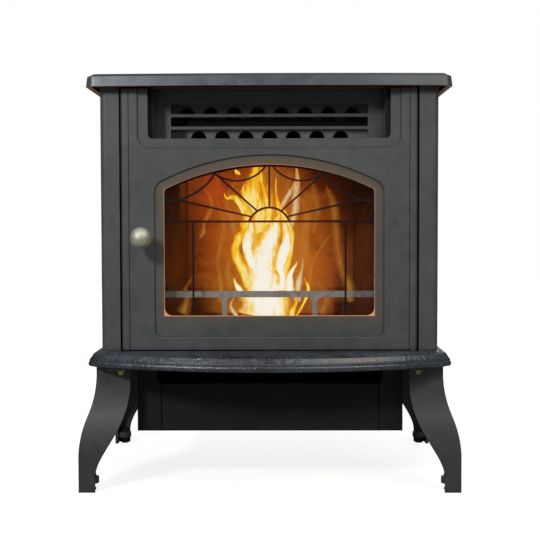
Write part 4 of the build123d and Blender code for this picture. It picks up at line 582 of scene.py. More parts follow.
def piece_from(name, shell, finish, body):
    """A bmesh made into a piece with one finish, which moves with a body."""
    mesh = bpy.data.meshes.new(name)
    shell.to_mesh(mesh)
    shell.free()
    mesh.materials.append(finish)
    piece = bpy.data.objects.new(name, mesh)
    bpy.context.scene.collection.objects.link(piece)
    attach(piece, body)
    print(name, "faces", len(mesh.polygons))
    return piece


def seal_from(name, curve, turn, finish, body, node):
    """Turn a curve into a mesh in place, dress it, and let it stand for the soft CAD solid."""
    shape = bpy.data.objects.new(name, curve)
    bpy.context.scene.collection.objects.link(shape)
    ready = bpy.context.evaluated_depsgraph_get()
    mesh = bpy.data.meshes.new_from_object(shape.evaluated_get(ready))
    bpy.data.objects.remove(shape)
    if curve.bevel_object:
        bpy.data.objects.remove(curve.bevel_object)
    skin = bmesh.new()
    skin.from_mesh(mesh)
    bpy.data.meshes.remove(mesh)
    bmesh.ops.transform(skin, matrix=turn, verts=skin.verts)
    bmesh.ops.recalc_face_normals(skin, faces=skin.faces)
    for face in skin.faces:
        face.smooth = True
        face.material_index = 0
    piece = piece_from(name, skin, finish, body)
    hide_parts(node)


# %% [markdown]
# ### Door rope
#
# A tube with a bump would do from afar, but with the door open the outline of the rope is seen, and
# there a braid is knobbly. So every strand is a helix round the rope's middle line. Half of them
# wind the other way, and each rises and sinks as it goes, so that it passes over and under.

# %% Door rope
ROPE_HALF_W = 4.15 * MM
ROPE_HALF_D = 3.9 * MM
ROPE_CORNER = 26.5 * MM
ROPE_INSET = 4.5 * MM
POINT_STEP = 1.9 * MM
STRANDS = 8
STRAND_TURNS = 58
STRAND_R = 1.35 * MM


def braid(name, loop, wide, deep, strands, turns, thread):
    """A braided rope round a loop: half of the strands wind each way, over and under."""
    points = spaced(loop, POINT_STEP)
    count = len(points)
    ways = [(points[(k + 1) % count] - points[k - 1]).normalized() for k in range(count)]
    curve = bpy.data.curves.new(name, "CURVE")
    curve.dimensions = "3D"
    curve.bevel_depth = thread
    curve.bevel_resolution = 1
    for strand in range(strands):
        hand = 1 if strand % 2 else -1
        spline = curve.splines.new("POLY")
        spline.points.add(count - 1)
        spline.use_cyclic_u = True
        for k, (point, way) in enumerate(zip(points, ways)):
            phase = hand * 2 * math.pi * turns * k / count + 2 * math.pi * (strand // 2) / (strands / 2)
            lift = 1 + 0.12 * hand * math.cos(phase * strands / 2)
            out = math.cos(phase) * (wide - thread) * lift
            away = math.sin(phase) * (deep - thread) * min(lift, 1.0)
            spline.points[k].co = (point.x + way.y * out, point.y - way.x * out, away, 1)
    return curve


upright = Matrix.Rotation(math.pi / 2, 4, "X")
low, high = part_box("door_rope")
middle, half = (low + high) / 2, (high - low) / 2
rope_loop = rounded_loop(half.x - ROPE_INSET, half.z - ROPE_INSET, ROPE_CORNER)
rope_curve = braid("braided_door_rope", rope_loop, ROPE_HALF_W, ROPE_HALF_D, STRANDS, STRAND_TURNS, STRAND_R)
seal_from("braided_door_rope", rope_curve, Matrix.Translation(middle) @ upright, rope_fibre,
          "door", "door_rope")


# %% [markdown]
# ### Glass tape and lid strip
#
# The tape is folded over the rim of the pane like a hem, so its section is an angle that follows
# the glass. The strip is a low cushion. Each section is swept round its loop, and a small change of
# size from one point to the next gives the ridges of the weave.

# %% Sections, and the outline of the glass
def swept(name, loop, section, step, rib):
    """A section, in mm, swept round a loop; from one step, in mm, to the next its size rises or falls."""
    shape = bpy.data.curves.new(name + "_section", "CURVE")
    shape.dimensions = "2D"
    edge = shape.splines.new("POLY")
    edge.points.add(len(section) - 1)
    edge.use_cyclic_u = True
    for point, (out, up) in zip(edge.points, section):
        point.co = (out * MM, up * MM, 0, 1)
    curve = bpy.data.curves.new(name, "CURVE")
    curve.dimensions = "2D"
    curve.fill_mode = "NONE"
    curve.bevel_mode = "OBJECT"
    profile = bpy.data.objects.new(name + "_section", shape)
    bpy.context.scene.collection.objects.link(profile)
    curve.bevel_object = profile
    points = spaced(loop, step * MM)
    spline = curve.splines.new("POLY")
    spline.points.add(len(points) - 1)
    spline.use_cyclic_u = True
    for k, (point, place) in enumerate(zip(spline.points, points)):
        point.co = (place.x, place.y, 0, 1)
        point.radius = 1 - rib * (k % 2)
    return curve


def rim_of(node):
    """The outline of a flat upright plate, in X and Z, read from its widest face and put in order."""
    plate = bmesh.new()
    plate.from_mesh(nodes[node].data)
    bmesh.ops.remove_doubles(plate, verts=plate.verts, dist=1e-6)
    bmesh.ops.dissolve_limit(plate, angle_limit=0.02, verts=plate.verts, edges=plate.edges)
    widest = max(plate.faces, key=lambda face: face.calc_area())
    points = [Vector((vert.co.x, vert.co.z)) for vert in widest.verts]
    plate.free()
    centre = sum(points, Vector((0, 0))) / len(points)
    points.sort(key=lambda point: math.atan2(point.y - centre.y, point.x - centre.x))
    return points


# %% Glass tape
glass_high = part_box("door_glass")[1]
tape_low, tape_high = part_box("glass_gasket")
rim_depth = (glass_high.y - tape_low.y) / MM
lap_depth = (tape_high.y - tape_low.y) / MM
tape_section = [(0.05, 0.1), (1.4, 0.05), (1.75, 0.5), (1.75, lap_depth - 0.6), (1.3, lap_depth - 0.05),
                (-4.6, lap_depth - 0.05), (-4.95, lap_depth - 0.3), (-4.9, rim_depth + 0.06),
                (0.05, rim_depth + 0.06)]
tape_curve = swept("folded_glass_tape", rim_of("door_glass"), [(-out, -back) for out, back in tape_section],
                   1.6, 0.035)
seal_from("folded_glass_tape", tape_curve, Matrix.Translation((0, tape_low.y, 0)) @ upright, tape_fibre,
          "door", "glass_gasket")

# %% Lid strip
low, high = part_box("hopper_gasket")
middle, half = (low + high) / 2, (high - low) / 2
strip_loop = rounded_loop(half.x - 4 * MM, half.y - 3 * MM, 6 * MM)
half_section = [(2.5, 0.02), (2.9, 0.3), (2.8, 1.4), (1.9, 2.5), (0.7, 2.95)]
strip_section = half_section + [(-out, up) for out, up in reversed(half_section)]
strip_curve = swept("knitted_lid_strip", strip_loop, strip_section, 2.0, 0.04)
seal_from("knitted_lid_strip", strip_curve, Matrix.Translation((middle.x, middle.y, low.z)), strip_fibre,
          "stove", "hopper_gasket")

# %% [markdown]
# ## Marks round the dials
#
# The control panel is out of sight in the picture. Its dials get a ring of short printed strokes, so
# that a turn can be read. Each is a thin cube that stands just proud of the panel, as screen ink
# does. The ink is an opaque, satin off-white, worn a little grey in places, so that it doesn't shine
# out from the black panel.

# %% Dial marks
def ink(name, colour):
    """Screen ink: opaque, satin, a little worn."""
    material, tree = blank(name)
    where = add(tree, "ShaderNodeTexCoord").outputs["Object"]
    worn = add(tree, "ShaderNodeTexNoise",
               {"Vector": where, "Scale": 1 / (1.5 * MM), "Detail": 3.0, "Roughness": 0.6})
    shade = add(tree, "ShaderNodeValToRGB", {0: worn}, stops=[(0.25, "#8f8f8b"), (0.4, colour)])
    shader = add(tree, "ShaderNodeBsdfPrincipled", {"Base Color": shade, "Roughness": 0.6})
    add(tree, "ShaderNodeOutputMaterial", {0: shader})
    return material


MARKS = 9
MARK_SWEEP = 270  # degrees
MARK_RING_R = 20.5 * MM
MARK_THICK = 0.4 * MM
MARK_WIDE = 0.9 * MM
LONG_MARK = 4.5 * MM
SHORT_MARK = 3 * MM
panel_ink = ink("white_screen_ink", "#dcdcd8")
face_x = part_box("control_panel")[1].x
for knob in ("heat_knob", "fan_knob"):
    knob_low, knob_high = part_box(knob)
    hub = (knob_low + knob_high) / 2
    strokes = bmesh.new()
    for k in range(MARKS):
        turn = Matrix.Rotation(math.radians(MARK_SWEEP * (k / (MARKS - 1) - 0.5)), 4, "X")
        size = Matrix.Diagonal((MARK_THICK, MARK_WIDE, SHORT_MARK if k % 4 else LONG_MARK, 1))
        ring = Matrix.Translation((0, 0, MARK_RING_R))
        spot = Matrix.Translation((face_x, hub.y, hub.z)) @ turn @ ring @ size
        bmesh.ops.create_cube(strokes, size=1.0, matrix=spot)
    piece_from(knob + "_marks", strokes, panel_ink, "stove")

# %% [markdown]
# ## Fuel
#
# Wood pellets are pressed through a die, so they are short rods of one width, 6 mm here, and break
# at random lengths. One rod with ten sides is copied many times with a random turn and length. The
# hopper holds pale, dry pellets: matt, straw to brown from one rod to the next, with a dusty grain.
# The burn pot holds a heap of charred ones that glow orange in patches, on a bed of pale, powdery
# ash. The random numbers start from a fixed seed, so that the heap is the same every time.

# %% Pellet finishes
def pellet_finish(name, light, dark, hot=0.0):
    """Pressed sawdust, in shades that change every few millimetres; a hot one glows in its pale patches."""
    material, tree = blank(name)
    where = add(tree, "ShaderNodeTexCoord").outputs["Object"]
    shade = add(tree, "ShaderNodeTexNoise",
                {"Vector": where, "Scale": 1 / (9 * MM), "Detail": 4.0, "Roughness": 0.65})
    colour = add(tree, "ShaderNodeValToRGB", {0: shade}, stops=[(0.3, dark), (0.7, light)])
    dust = add(tree, "ShaderNodeTexNoise",
               {"Vector": where, "Scale": 1 / (1.2 * MM), "Detail": 2.0, "Roughness": 0.6})
    skin = add(tree, "ShaderNodeBump", {"Height": dust, "Strength": 0.4, "Distance": 0.3 * MM})
    look = {"Base Color": colour, "Normal": skin, "Roughness": 0.85, "Specular IOR Level": 0.2}
    if hot:
        look["Emission Color"] = "#ff7a1c"
        look["Emission Strength"] = add(tree, "ShaderNodeMapRange", {0: shade, 1: 0.4, 2: 0.62, 4: hot})
    add(tree, "ShaderNodeOutputMaterial", {0: add(tree, "ShaderNodeBsdfPrincipled", look)})
    return material


# Pale straw to brown, matt.
dry_pellet = pellet_finish("pressed_softwood_pellet", "#a87f4c", "#7a5630")
# Charred nearly black, glowing orange in patches.
ember_pellet = pellet_finish("glowing_charred_pellet", "#4a2c18", "#1c1410", 1.6)
# Warm pale grey powder, with the faintest glow from below.
fly_ash = pellet_finish("pale_fly_ash", "#9a9187", "#6e665e", 0.12)

# %% [markdown]
# ### Heaps of pellets
#
# A physics simulation would let the pellets fall and settle, but it would run on every start and
# most of the pellets would never be seen. A heap is seen only from above. So the pellets are thrown
# over a low dome, and a lumpy cushion under them hides what lies between.

# %% Heaps of pellets
PELLET_R = 3 * MM
PELLET_SHORT = 10 * MM
PELLET_LONG = 19 * MM
PELLET_TILT = 0.35  # radians from lying flat
PELLET_JUMBLE = 3 * MM


def heap(name, middle, half, rise, count, finish, seed):
    """Pellets thrown at random over an oblong dome of half sizes and rise, in metres."""
    chance = random.Random(seed)
    shell = bmesh.new()
    for _ in range(count):
        u, v = chance.uniform(-1, 1), chance.uniform(-1, 1)
        dome = rise * (1 - u * u) * (1 - v * v) + chance.uniform(-1, 1) * PELLET_JUMBLE
        place = Matrix.Translation(Vector(middle) + Vector((u * half[0], v * half[1], dome)))
        spin = Matrix.Rotation(chance.uniform(0, math.tau), 4, "Z")
        tilt = Matrix.Rotation(math.pi / 2 + chance.uniform(-PELLET_TILT, PELLET_TILT), 4, "Y")
        bmesh.ops.create_cone(shell, cap_ends=True, segments=10, radius1=PELLET_R, radius2=PELLET_R,
                              depth=chance.uniform(PELLET_SHORT, PELLET_LONG), matrix=place @ spin @ tilt)
    bmesh.ops.recalc_face_normals(shell, faces=shell.faces)
    piece_from(name, shell, finish, "stove")


def bed(name, middle, half, finish):
    """A low, lumpy cushion under a heap."""
    shell = bmesh.new()
    bmesh.ops.create_uvsphere(shell, u_segments=32, v_segments=16, radius=1.0)
    for vert in shell.verts:
        lump = 1 + 0.08 * noise.noise(vert.co * 4)
        square = [0.97 * math.copysign(abs(part) ** 0.7, part) for part in vert.co[:2]]
        vert.co = Vector((middle[0] + square[0] * half[0], middle[1] + square[1] * half[1],
                          middle[2] + vert.co.z * half[2] * lump))
    for face in shell.faces:
        face.smooth = True
    bmesh.ops.recalc_face_normals(shell, faces=shell.faces)
    piece_from(name, shell, finish, "stove")


low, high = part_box("burn_pot")
x, y, _ = (low + high) / 2
top = high.z - 16 * MM
bed("ash_in_the_pot", (x, y, top - 6 * MM), (0.036, 0.031, 0.008), fly_ash)
heap("embers_in_the_pot", (x, y, top + 3 * MM), (0.028, 0.024), 0.012, 110, ember_pellet, 4)
low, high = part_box("hopper")
x, y, _ = (low + high) / 2
top = high.z - 52 * MM
bed("pellet_bed", (x, y, top - 10 * MM), (0.168, 0.048, 0.014), dry_pellet)
heap("pellets_in_the_hopper", (x, y, top), (0.158, 0.040), 0.010, 620, dry_pellet, 7)

# %% [markdown]
# ## The fire
#
# A flame is hot gas, not a surface. Smoke simulation could make it, but it would be heavy and the
# result could not leave Blender as a mesh. A stage painter's way works better here: each tongue is a
# thin, closed lens, standing a few millimetres in front of the next. Its own UV map says how far
# from the rim and how high each point is, and the finish turns that into heat. What the eye gets is
# cream in the middle of the root, yellow towards the rim, and orange that thins to nothing at the
# very edge, all broken by streaks that rise. It is black and without gloss apart from its own light.

# %% Flame finishes
def flame_finish(name, stops, body, reach, streak_mm, drift=0.9, soft=1.0, cooling=0.45, hot=0.25):
    """Glowing gas: heat falls from the middle to the rim and from root to tip, broken by rising streaks."""
    material, tree = blank(name)
    where = add(tree, "ShaderNodeTexCoord").outputs["Object"]
    drawn_up = add(tree, "ShaderNodeMapping", {"Vector": where, "Scale": (1, 1, 0.22)})
    streak = add(tree, "ShaderNodeTexNoise", {"Vector": drawn_up, "Scale": 1 / (streak_mm * MM),
                                              "Detail": 4.0, "Roughness": 0.55, "Distortion": 1.2})
    rounder = add(tree, "ShaderNodeMapping", {"Vector": where, "Scale": (1, 1, 0.6)})
    blots = add(tree, "ShaderNodeTexNoise", {"Vector": rounder, "Scale": 1 / (3 * streak_mm * MM),
                                             "Detail": 2.0, "Roughness": 0.5, "Distortion": 0.8})
    broken = add(tree, "ShaderNodeMath", {0: streak, 1: blots}, operation="ADD")
    shift = add(tree, "ShaderNodeMapRange", {0: broken, 1: 0.7, 2: 1.3, 3: -drift / 2, 4: drift / 2})

    own = add(tree, "ShaderNodeUVMap", uv_map="flame")
    split = add(tree, "ShaderNodeSeparateXYZ", {0: own})
    rim = add(tree, "ShaderNodeMapRange", {0: split.outputs["X"], 2: reach})
    fade = add(tree, "ShaderNodeMapRange", {0: split.outputs["Y"], 1: hot, 4: cooling})
    warm = add(tree, "ShaderNodeMath", {0: rim, 1: fade}, operation="SUBTRACT")
    level = add(tree, "ShaderNodeMath", {0: warm, 1: shift}, operation="ADD")
    firelight_tone = add(tree, "ShaderNodeValToRGB", {0: level}, stops=stops)

    inward = add(tree, "ShaderNodeMapRange", {0: split.outputs["X"], 2: reach * 0.7})
    curve = add(tree, "ShaderNodeMath", {0: inward, 1: soft}, operation="POWER")
    edge = add(tree, "ShaderNodeMapRange", {0: curve, 4: body})
    tip = add(tree, "ShaderNodeMapRange", {0: split.outputs["Y"], 1: 0.9, 3: 1.0, 4: 0.0})
    torn = add(tree, "ShaderNodeMapRange", {0: streak, 1: 0.4, 2: 0.6, 3: 0.55, 4: 1.25})
    solid = add(tree, "ShaderNodeMath", {0: edge, 1: tip}, operation="MULTIPLY")
    clear = add(tree, "ShaderNodeMath", {0: solid, 1: torn}, operation="MULTIPLY", use_clamp=True)
    shader = add(tree, "ShaderNodeBsdfPrincipled",
                 {"Base Color": "#000000", "Roughness": 1.0, "Specular IOR Level": 0.0, "Alpha": clear,
                  "Emission Color": firelight_tone, "Emission Strength": 1.0})
    add(tree, "ShaderNodeOutputMaterial", {0: shader})
    return material


# Cream in the middle, with a gold rim: the hottest part, opaque and crisp.
bright_gas = flame_finish("white_hot_wood_gas", [(0.0, "#f09a18"), (0.2, "#fbc23a"), (0.42, "#fdd978"),
                                                 (0.62, "#fff0c4"), (0.85, "#fff9ec")], 1.5, 0.95, 9, 0.8,
                          soft=1.4, cooling=0.75, hot=0.5)
# Gold to orange tongues round it.
yellow_gas = flame_finish("yellow_wood_gas", [(0.0, "#c4600a"), (0.25, "#e88c10"), (0.55, "#f7b41c"),
                                              (0.8, "#fcce3a"), (1.0, "#fde284")], 1.4, 0.85, 8, soft=1.3)
# A softer, broader gold that lies behind both and joins them.
gold_gas = flame_finish("golden_gas_behind_the_core", [(0.0, "#a85412"), (0.4, "#d98a1e"), (0.8, "#f3b73a"),
                                                       (1.0, "#f8cf62")], 0.95, 1.1, 14, 0.6, soft=1.5)
# Thin, pale wisps beside the flame, more cream than orange.
pale_gas = flame_finish("pale_outer_gas", [(0.0, "#b8692a"), (0.45, "#d9a464"), (0.85, "#ecd2a4")],
                        0.7, 1.2, 9, 0.5, soft=1.7)
# Large hazes that can hardly be told from the wall.
glow_gas = flame_finish("faint_orange_gas", [(0.0, "#a8541a"), (0.5, "#c07a2c"), (1.0, "#d29a44")],
                        0.34, 1.5, 14, 0.5, soft=2.6)
# A warm veil over the whole back of the box.
halo_gas = flame_finish("warm_glow_of_the_gas", [(0.0, "#a65018"), (0.5, "#bd7022"), (1.0, "#c98a2e")],
                        0.62, 1.4, 40, 0.5, soft=1.1)

# %% [markdown]
# A tongue starts as a sphere, which is closed at both ends. Each of its rings is moved to a station
# on the tongue's middle line, squashed to a lens and turned square to the line. Between the drawn
# stations the line is a smooth curve through them. A flame throws no shadow, and neither plate nor
# paint mirrors it.

# %% A tongue of flame
def along(stations, t):
    """A smooth curve through the stations, at t from 0 to 1: (x, z, half width) there, and their slope."""
    last = len(stations) - 1
    index = min(int(t * last), last - 1)
    share = t * last - index
    rows = [Vector(stations[min(max(index + k, 0), last)]) for k in (-1, 0, 1, 2)]
    straight = rows[2] - rows[0]
    bend = rows[0] * 2 - rows[1] * 5 + rows[2] * 4 - rows[3]
    cube = rows[1] * 3 - rows[0] - rows[2] * 3 + rows[3]
    here = rows[1] + (straight * share + bend * share ** 2 + cube * share ** 3) / 2
    slope = (straight + bend * 2 * share + cube * 3 * share ** 2) / 2
    return here, slope


def tongue(name, stations, depth, thick, finish, seed):
    """A lens that stands at a depth and follows (x, z, half width) stations from root to tip, in mm."""
    shell = bmesh.new()
    rings = 6 * (len(stations) - 1)
    bmesh.ops.create_uvsphere(shell, u_segments=16, v_segments=rings, radius=1.0)
    layer = shell.loops.layers.uv.new("flame")
    place = {}
    for vert in shell.verts:
        t = math.acos(max(-1.0, min(1.0, -vert.co.z))) / math.pi
        pole = abs(vert.co.z) > 0.99999
        angle = 0.0 if pole else math.atan2(vert.co.y, vert.co.x)
        (x, z, half), slope = along(stations, t)
        across = Vector((slope[1], -slope[0])).normalized()
        half = 0.0 if pole else max(half, 0.25)
        ruffle = 1 + 0.22 * noise.noise(Vector((seed * 5.3, z / 13, math.cos(angle))))
        side = math.cos(angle) * half * ruffle
        swell = 0.0 if pole else math.sin(angle) * thick * min(1.0, half / 8)
        vert.co = Vector((x + across[0] * side, depth + swell, z + across[1] * side)) * MM
        place[vert] = (0.0 if pole else 1 - abs(math.cos(angle)) ** 1.5, t)
    for face in shell.faces:
        face.smooth = True
        for loop in face.loops:
            loop[layer].uv = place[loop.vert]
    bmesh.ops.recalc_face_normals(shell, faces=shell.faces)
    piece = piece_from(name, shell, finish, "stove")
    piece.visible_shadow = False
    piece.visible_glossy = False


# %% [markdown]
# The middle lines below were drawn over the picture: a broad cream root between the guard's posts, a
# golden column left of the middle that licks the arch, curls at both feet, and large faint hazes
# behind that fill the box with glow.

# %% Build the fire
flame_lines = {
    "flame_halo": (halo_gas, -12, 5, [(0, 300, 140), (0, 350, 150), (2, 420, 142), (0, 490, 130),
        (-6, 550, 104), (-12, 588, 50), (-12, 606, 1)]),
    "flame_body": (gold_gas, -46, 10, [(-8, 318, 58), (-12, 372, 54), (-12, 420, 54), (-8, 460, 46),
        (-14, 505, 42), (-22, 548, 30), (-24, 588, 13), (-24, 604, 1)]),
    "flame_core": (bright_gas, -70, 12, [(-11, 300, 56.1), (-8, 324, 51.3), (-11, 348, 45.3),
        (-14, 371, 35.8), (-16, 395, 29.1), (-12, 419, 26.7), (-3, 443, 22.7), (6, 462, 19.1),
        (13, 481, 12.4), (18, 498, 3.8), (20, 505, 0.5)]),
    "flame_core_left": (bright_gas, -74, 8, [(-29, 395, 9.5), (-38, 414, 11.5), (-43, 433, 10.5),
        (-40, 453, 11.9), (-35, 469, 10), (-37, 484, 5.2), (-41, 493, 0.5)]),
    "flame_core_right": (bright_gas, -72, 8, [(19, 352, 14.3), (23, 376, 7.2), (19, 400, 10.7),
        (25, 419, 14.3), (31, 438, 12.4), (32, 455, 10.7), (29, 472, 8.6), (24, 486, 3.8), (20, 495, 0.5)]),
    "flame_edge_left": (yellow_gas, -62, 9, [(-38, 357, 11.9), (-48, 381, 11.5), (-55, 398, 10.7),
        (-62, 414, 11.5), (-66, 431, 10), (-60, 448, 11.5), (-50, 464, 13.4), (-42, 484, 13.8),
        (-43, 503, 10), (-50, 518, 5.7), (-55, 531, 0.7)]),
    "flame_edge_right": (yellow_gas, -64, 9, [(19, 362, 9.5), (25, 383, 11), (30, 402, 11.5),
        (37, 422, 9.5), (41, 441, 6.2), (40, 457, 7.6), (34, 474, 10.5), (25, 491, 11.9), (18, 507, 9.5),
        (14, 522, 5.7), (12, 536, 2.9), (11, 550, 2.1), (12, 561, 1.4), (12, 569, 0.2)]),
    "flame_column": (yellow_gas, -54, 10, [(-14, 462, 28.6), (-19, 481, 29.8), (-23, 500, 30.5),
        (-27, 517, 26.7), (-32, 534, 24.8), (-32, 548, 21), (-29, 562, 14.8), (-27, 574, 12.4),
        (-26, 586, 11), (-24, 598, 8.1), (-23, 605, 1)]),
    "flame_column_left": (yellow_gas, -58, 6, [(-35, 486, 7.2), (-38, 503, 8.1), (-43, 519, 8.1),
        (-48, 534, 7.2), (-51, 542, 4.8), (-50, 550, 2.4), (-48, 556, 0.5)]),
    "flame_column_right": (yellow_gas, -60, 6, [(-5, 476, 9.5), (-2, 493, 9.5), (-3, 510, 8.1),
        (-7, 526, 7.2), (-12, 543, 6.2), (-16, 558, 4.8), (-17, 572, 3.3), (-16, 584, 1.9),
        (-16, 593, 0.5)]),
    "flame_column_core": (yellow_gas, -64, 5, [(-26, 481, 6.2), (-22, 498, 7.6), (-19, 515, 6.2),
        (-22, 531, 4.8), (-25, 546, 3.3), (-26, 560, 1.9), (-26, 572, 0.5)]),
    "flame_hook": (yellow_gas, -66, 5, [(-45, 485, 1.9), (-50, 499, 4.3), (-55, 513, 6.2), (-64, 526, 7.2),
        (-73, 529, 6.2), (-80, 527, 3.3), (-85, 531, 2.4), (-87, 538, 0.5)]),
    "flame_tongue_right": (bright_gas, -78, 5, [(38, 350, 11.5), (36, 367, 9.5), (38, 381, 6.2),
        (43, 392, 4.3), (49, 401, 2.6), (52, 408, 0.5)]),
    "flame_wisp_low": (pale_gas, -58, 5, [(52, 328, 11), (52, 350, 10.5), (55, 371, 8.6), (61, 390, 5.7),
        (62, 407, 3.8), (60, 424, 0.7)]),
    "flame_curl_right": (yellow_gas, -84, 4, [(50, 305, 1.4), (57, 316, 3.1), (65, 331, 2.9),
        (71, 346, 3.8), (72, 359, 4.1), (68, 369, 2.6), (64, 378, 0.2)]),
    "flame_foot_right": (yellow_gas, -86, 4, [(41, 300, 7.2), (43, 314, 6.2), (48, 326, 3.8),
        (52, 336, 1.9), (54, 342, 0.2)]),
    "flame_foot_left": (bright_gas, -82, 4, [(-53, 345, 7.2), (-59, 356, 6.2), (-65, 367, 3.8),
        (-69, 377, 0.5)]),
    "flame_foot_curl": (pale_gas, -86, 4, [(-59, 300, 3.8), (-68, 312, 5.7), (-74, 322, 4.3),
        (-72, 333, 2.4), (-67, 340, 0.5)]),
    "flame_wisp_top": (pale_gas, -44, 5, [(36, 457, 2.4), (40, 474, 7.2), (46, 493, 9.5), (50, 512, 10.5),
        (49, 529, 11.9), (51, 546, 10.5), (53, 562, 7.2), (52, 577, 5.2), (50, 589, 1.9), (49, 596, 0.2)]),
    "flame_wisp_branch": (pale_gas, -40, 4, [(19, 503, 1.9), (25, 516, 5.7), (33, 530, 6.2), (42, 546, 5.2),
        (48, 560, 1.9), (49, 567, 0.2)]),
    "flame_spark": (yellow_gas, -30, 3, [(-67, 584, 0.7), (-65, 579, 4.3), (-61, 576, 4.8),
        (-57, 573, 0.5)]),
    "flame_haze_1": (glow_gas, -24, 4, [(-98, 324, 11.5), (-96, 352, 9.9), (-99, 381, 7.7), (-102, 405, 6.9),
        (-97, 433, 8.3), (-91, 462, 9.1), (-92, 491, 9.9), (-100, 515, 7.7), (-109, 536, 1.1)]),
    "flame_haze_2": (glow_gas, -20, 4, [(-138, 450, 2.2), (-130, 462, 8.3), (-128, 481, 6.9),
        (-119, 498, 9.9), (-113, 517, 11.5), (-119, 534, 8.3), (-126, 546, 1.1)]),
    "flame_haze_3": (glow_gas, -28, 4, [(-76, 352, 11.5), (-80, 371, 16.0), (-83, 390, 13.0), (-79, 407, 5.3),
        (-77, 419, 0.8)]),
    "flame_haze_4": (glow_gas, -26, 4, [(74, 343, 3.0), (77, 376, 7.7), (84, 405, 6.9), (99, 433, 5.0),
        (115, 455, 3.4), (125, 468, 0.8)]),
    "flame_haze_5": (glow_gas, -22, 4, [(155, 324, 15.2), (153, 357, 17.6), (139, 390, 13.8),
        (131, 429, 13.8), (128, 467, 16.0), (124, 505, 17.6), (116, 534, 13.8), (107, 555, 1.6)]),
    "flame_haze_6": (glow_gas, -30, 4, [(98, 302, 15.2), (107, 328, 19.0), (100, 352, 13.8), (91, 371, 6.9),
        (86, 383, 0.8)]),
    "flame_haze_7": (glow_gas, -18, 4, [(83, 457, 5.3), (88, 486, 15.2), (91, 515, 17.6), (86, 543, 13.0),
        (79, 567, 1.6)]),
    "flame_haze_8": (glow_gas, -26, 4, [(-62, 443, 3.8), (-69, 467, 9.9), (-76, 491, 13.8), (-84, 515, 13.0),
        (-80, 538, 10.7), (-67, 560, 9.1), (-57, 577, 1.6)]),
    "flame_haze_9": (glow_gas, -16, 4, [(67, 395, 3.8), (64, 429, 15.2), (62, 462, 22.9), (69, 491, 19.0),
        (64, 519, 7.7), (60, 534, 1.1)]),
    "flame_haze_10": (glow_gas, -24, 4, [(-172, 302, 22.9), (-162, 328, 15.2), (-165, 352, 7.7),
        (-155, 369, 3.8), (-148, 376, 0.8)]),
}
for number, (name, (finish, depth, thick, stations)) in enumerate(flame_lines.items()):
    tongue(name, stations, depth, thick, finish, number + 1)
print("tongues", len(flame_lines))

# %% [markdown]
# Small warm lamps stand in the flame. They do what the drawn flame cannot: light the walls, the
# guard rail and the inner edge of the door. The two upper ones shine backwards only, on the walls
# and not on the door.

# %% Fire light
def lamp_at(name, kind, place, turn, power, colour):
    """A lamp of a kind at a place, turned by Euler angles."""
    light = bpy.data.lights.new(name, kind)
    light.energy = power
    light.color = linear(colour)[:3]
    lamp = bpy.data.objects.new(name, light)
    lamp.location = place
    lamp.rotation_euler = turn
    bpy.context.scene.collection.objects.link(lamp)
    print(name, power, "W")
    return light


BACKWARDS = (math.pi / 2, 0, 0)
low_fire = lamp_at("fire_low", "POINT", (-0.005, -0.04, 0.38), BACKWARDS, 0.2, "#ff9440")
low_fire.shadow_soft_size = 0.03
high_fire = lamp_at("fire_high", "SPOT", (-0.02, -0.02, 0.53), BACKWARDS, 0.35, "#ff9a48")
high_fire.shadow_soft_size = 0.03
left_fire = lamp_at("fire_left", "SPOT", (-0.13, 0.0, 0.55), BACKWARDS, 0.35, "#ffb060")
left_fire.shadow_soft_size = 0.02
for fire in (high_fire, left_fire):
    fire.spot_size = math.radians(168)
    fire.spot_blend = 0.4

# %% [markdown]
# ## A plain studio
#
# The stove stands on a pale floor in soft light from above, the front left and the back. The
# camera sees the world as plain white and the floor as nearly white, brighter with distance so that
# no horizon shows, while the floor still takes the shadow. Everything else is lit by a weak, cool
# sky. The lens and height were worked out from the picture: the top plate is seen almost edge on,
# so the camera stands just below it, 1.9 m away.

# %% Floor and world
def floor_finish():
    """Pale matt studio paper: what the camera sees is almost white, with only the soft shadow on it."""
    material, tree = blank("pale_studio_floor")
    where = add(tree, "ShaderNodeTexCoord").outputs["Object"]
    cloud = add(tree, "ShaderNodeTexNoise",
                {"Vector": where, "Scale": 1 / (300 * MM), "Detail": 3.0, "Roughness": 0.5})
    colour = add(tree, "ShaderNodeValToRGB", {0: cloud}, stops=[(0.3, "#8c8c8b"), (0.7, "#919190")])
    away = add(tree, "ShaderNodeVectorMath", {0: where}, operation="LENGTH")
    far = add(tree, "ShaderNodeMapRange", {0: away, 1: 0.45, 2: 1.8, 3: 0.84, 4: 1.0})
    ray = add(tree, "ShaderNodeLightPath")
    seen = add(tree, "ShaderNodeMath", {0: ray.outputs["Is Camera Ray"], 1: far}, operation="MULTIPLY")
    shader = add(tree, "ShaderNodeBsdfPrincipled", {"Base Color": colour, "Roughness": 0.9,
                                                    "Emission Color": "#ffffff", "Emission Strength": seen})
    add(tree, "ShaderNodeOutputMaterial", {0: shader})
    return material


FLOOR_HALF = 6
tiles = bmesh.new()
bmesh.ops.create_grid(tiles, x_segments=2, y_segments=2, size=FLOOR_HALF)
floor_mesh = bpy.data.meshes.new("floor")
tiles.to_mesh(floor_mesh)
tiles.free()
floor_mesh.materials.append(floor_finish())
floor = bpy.data.objects.new("floor", floor_mesh)
bpy.context.scene.collection.objects.link(floor)

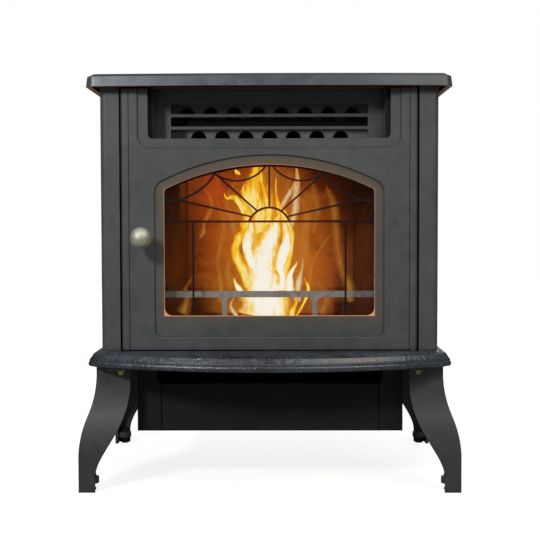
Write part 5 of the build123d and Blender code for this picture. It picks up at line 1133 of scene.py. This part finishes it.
world = bpy.data.worlds.new("studio")
bpy.context.scene.world = world
world.use_nodes = True
sky = world.node_tree
sky.nodes.clear()
ray = add(sky, "ShaderNodeLightPath")
seen = add(sky, "ShaderNodeMath", {0: ray.outputs["Is Camera Ray"], 1: ray.outputs["Is Transmission Ray"]},
           operation="MAXIMUM")
plain = add(sky, "ShaderNodeBackground", {"Color": "#ffffff", "Strength": 1.0})
ambient = add(sky, "ShaderNodeBackground", {"Color": "#eef2f8", "Strength": 0.22})
both_skies = add(sky, "ShaderNodeMixShader", {0: seen, 1: ambient, 2: plain})
add(sky, "ShaderNodeOutputWorld", {0: both_skies})
print("floor", 2 * FLOOR_HALF, "m wide")


# %% [markdown]
# ## Lamps and camera
#
# The picture has soft edges to its highlights and hardly any shadow, so the studio's lamps are soft
# boxes. The smallest, the key, stands high at the front left. The fill is a little warm, at the
# front right. The top one lights the plate, and the back one parts the sides from the background.

# %% Lamps and camera
def soft_box(name, place, target, size, power, colour="#ffffff"):
    """A square-cornered soft box that points at a target."""
    turn = (Vector(target) - Vector(place)).to_track_quat("-Z", "Y").to_euler()
    light = lamp_at(name, "AREA", place, turn, power, colour)
    light.shape = "RECTANGLE"
    light.size, light.size_y = size


soft_box("key", (-1.44, -2.39, 1.81), (0, 0, 0.45), (0.45, 0.45), 55)
soft_box("fill", (0.95, -1.4, 1.65), (0.1, -0.2, 0.6), (1.2, 1.2), 19, "#fff9ea")
soft_box("top", (0, -0.2, 2.5), (0, 0, 0.5), (2.2, 1.4), 20)
soft_box("back", (0.4, 2.4, 1.6), (0, 0, 0.4), (1.6, 1.2), 16)

camera_data = bpy.data.cameras.new("camera")
camera_data.lens = 72.2
camera_data.sensor_width = 36
camera = bpy.data.objects.new("camera", camera_data)
camera.location = (0.0203, -2.1274, 0.481)
camera.rotation_euler = (math.radians(90 - 2.508), math.radians(0.132), math.radians(0.56))
bpy.context.scene.collection.objects.link(camera)
bpy.context.scene.camera = camera
bpy.context.scene.view_settings.view_transform = "Standard"
print("camera", tuple(round(v, 3) for v in camera.location))
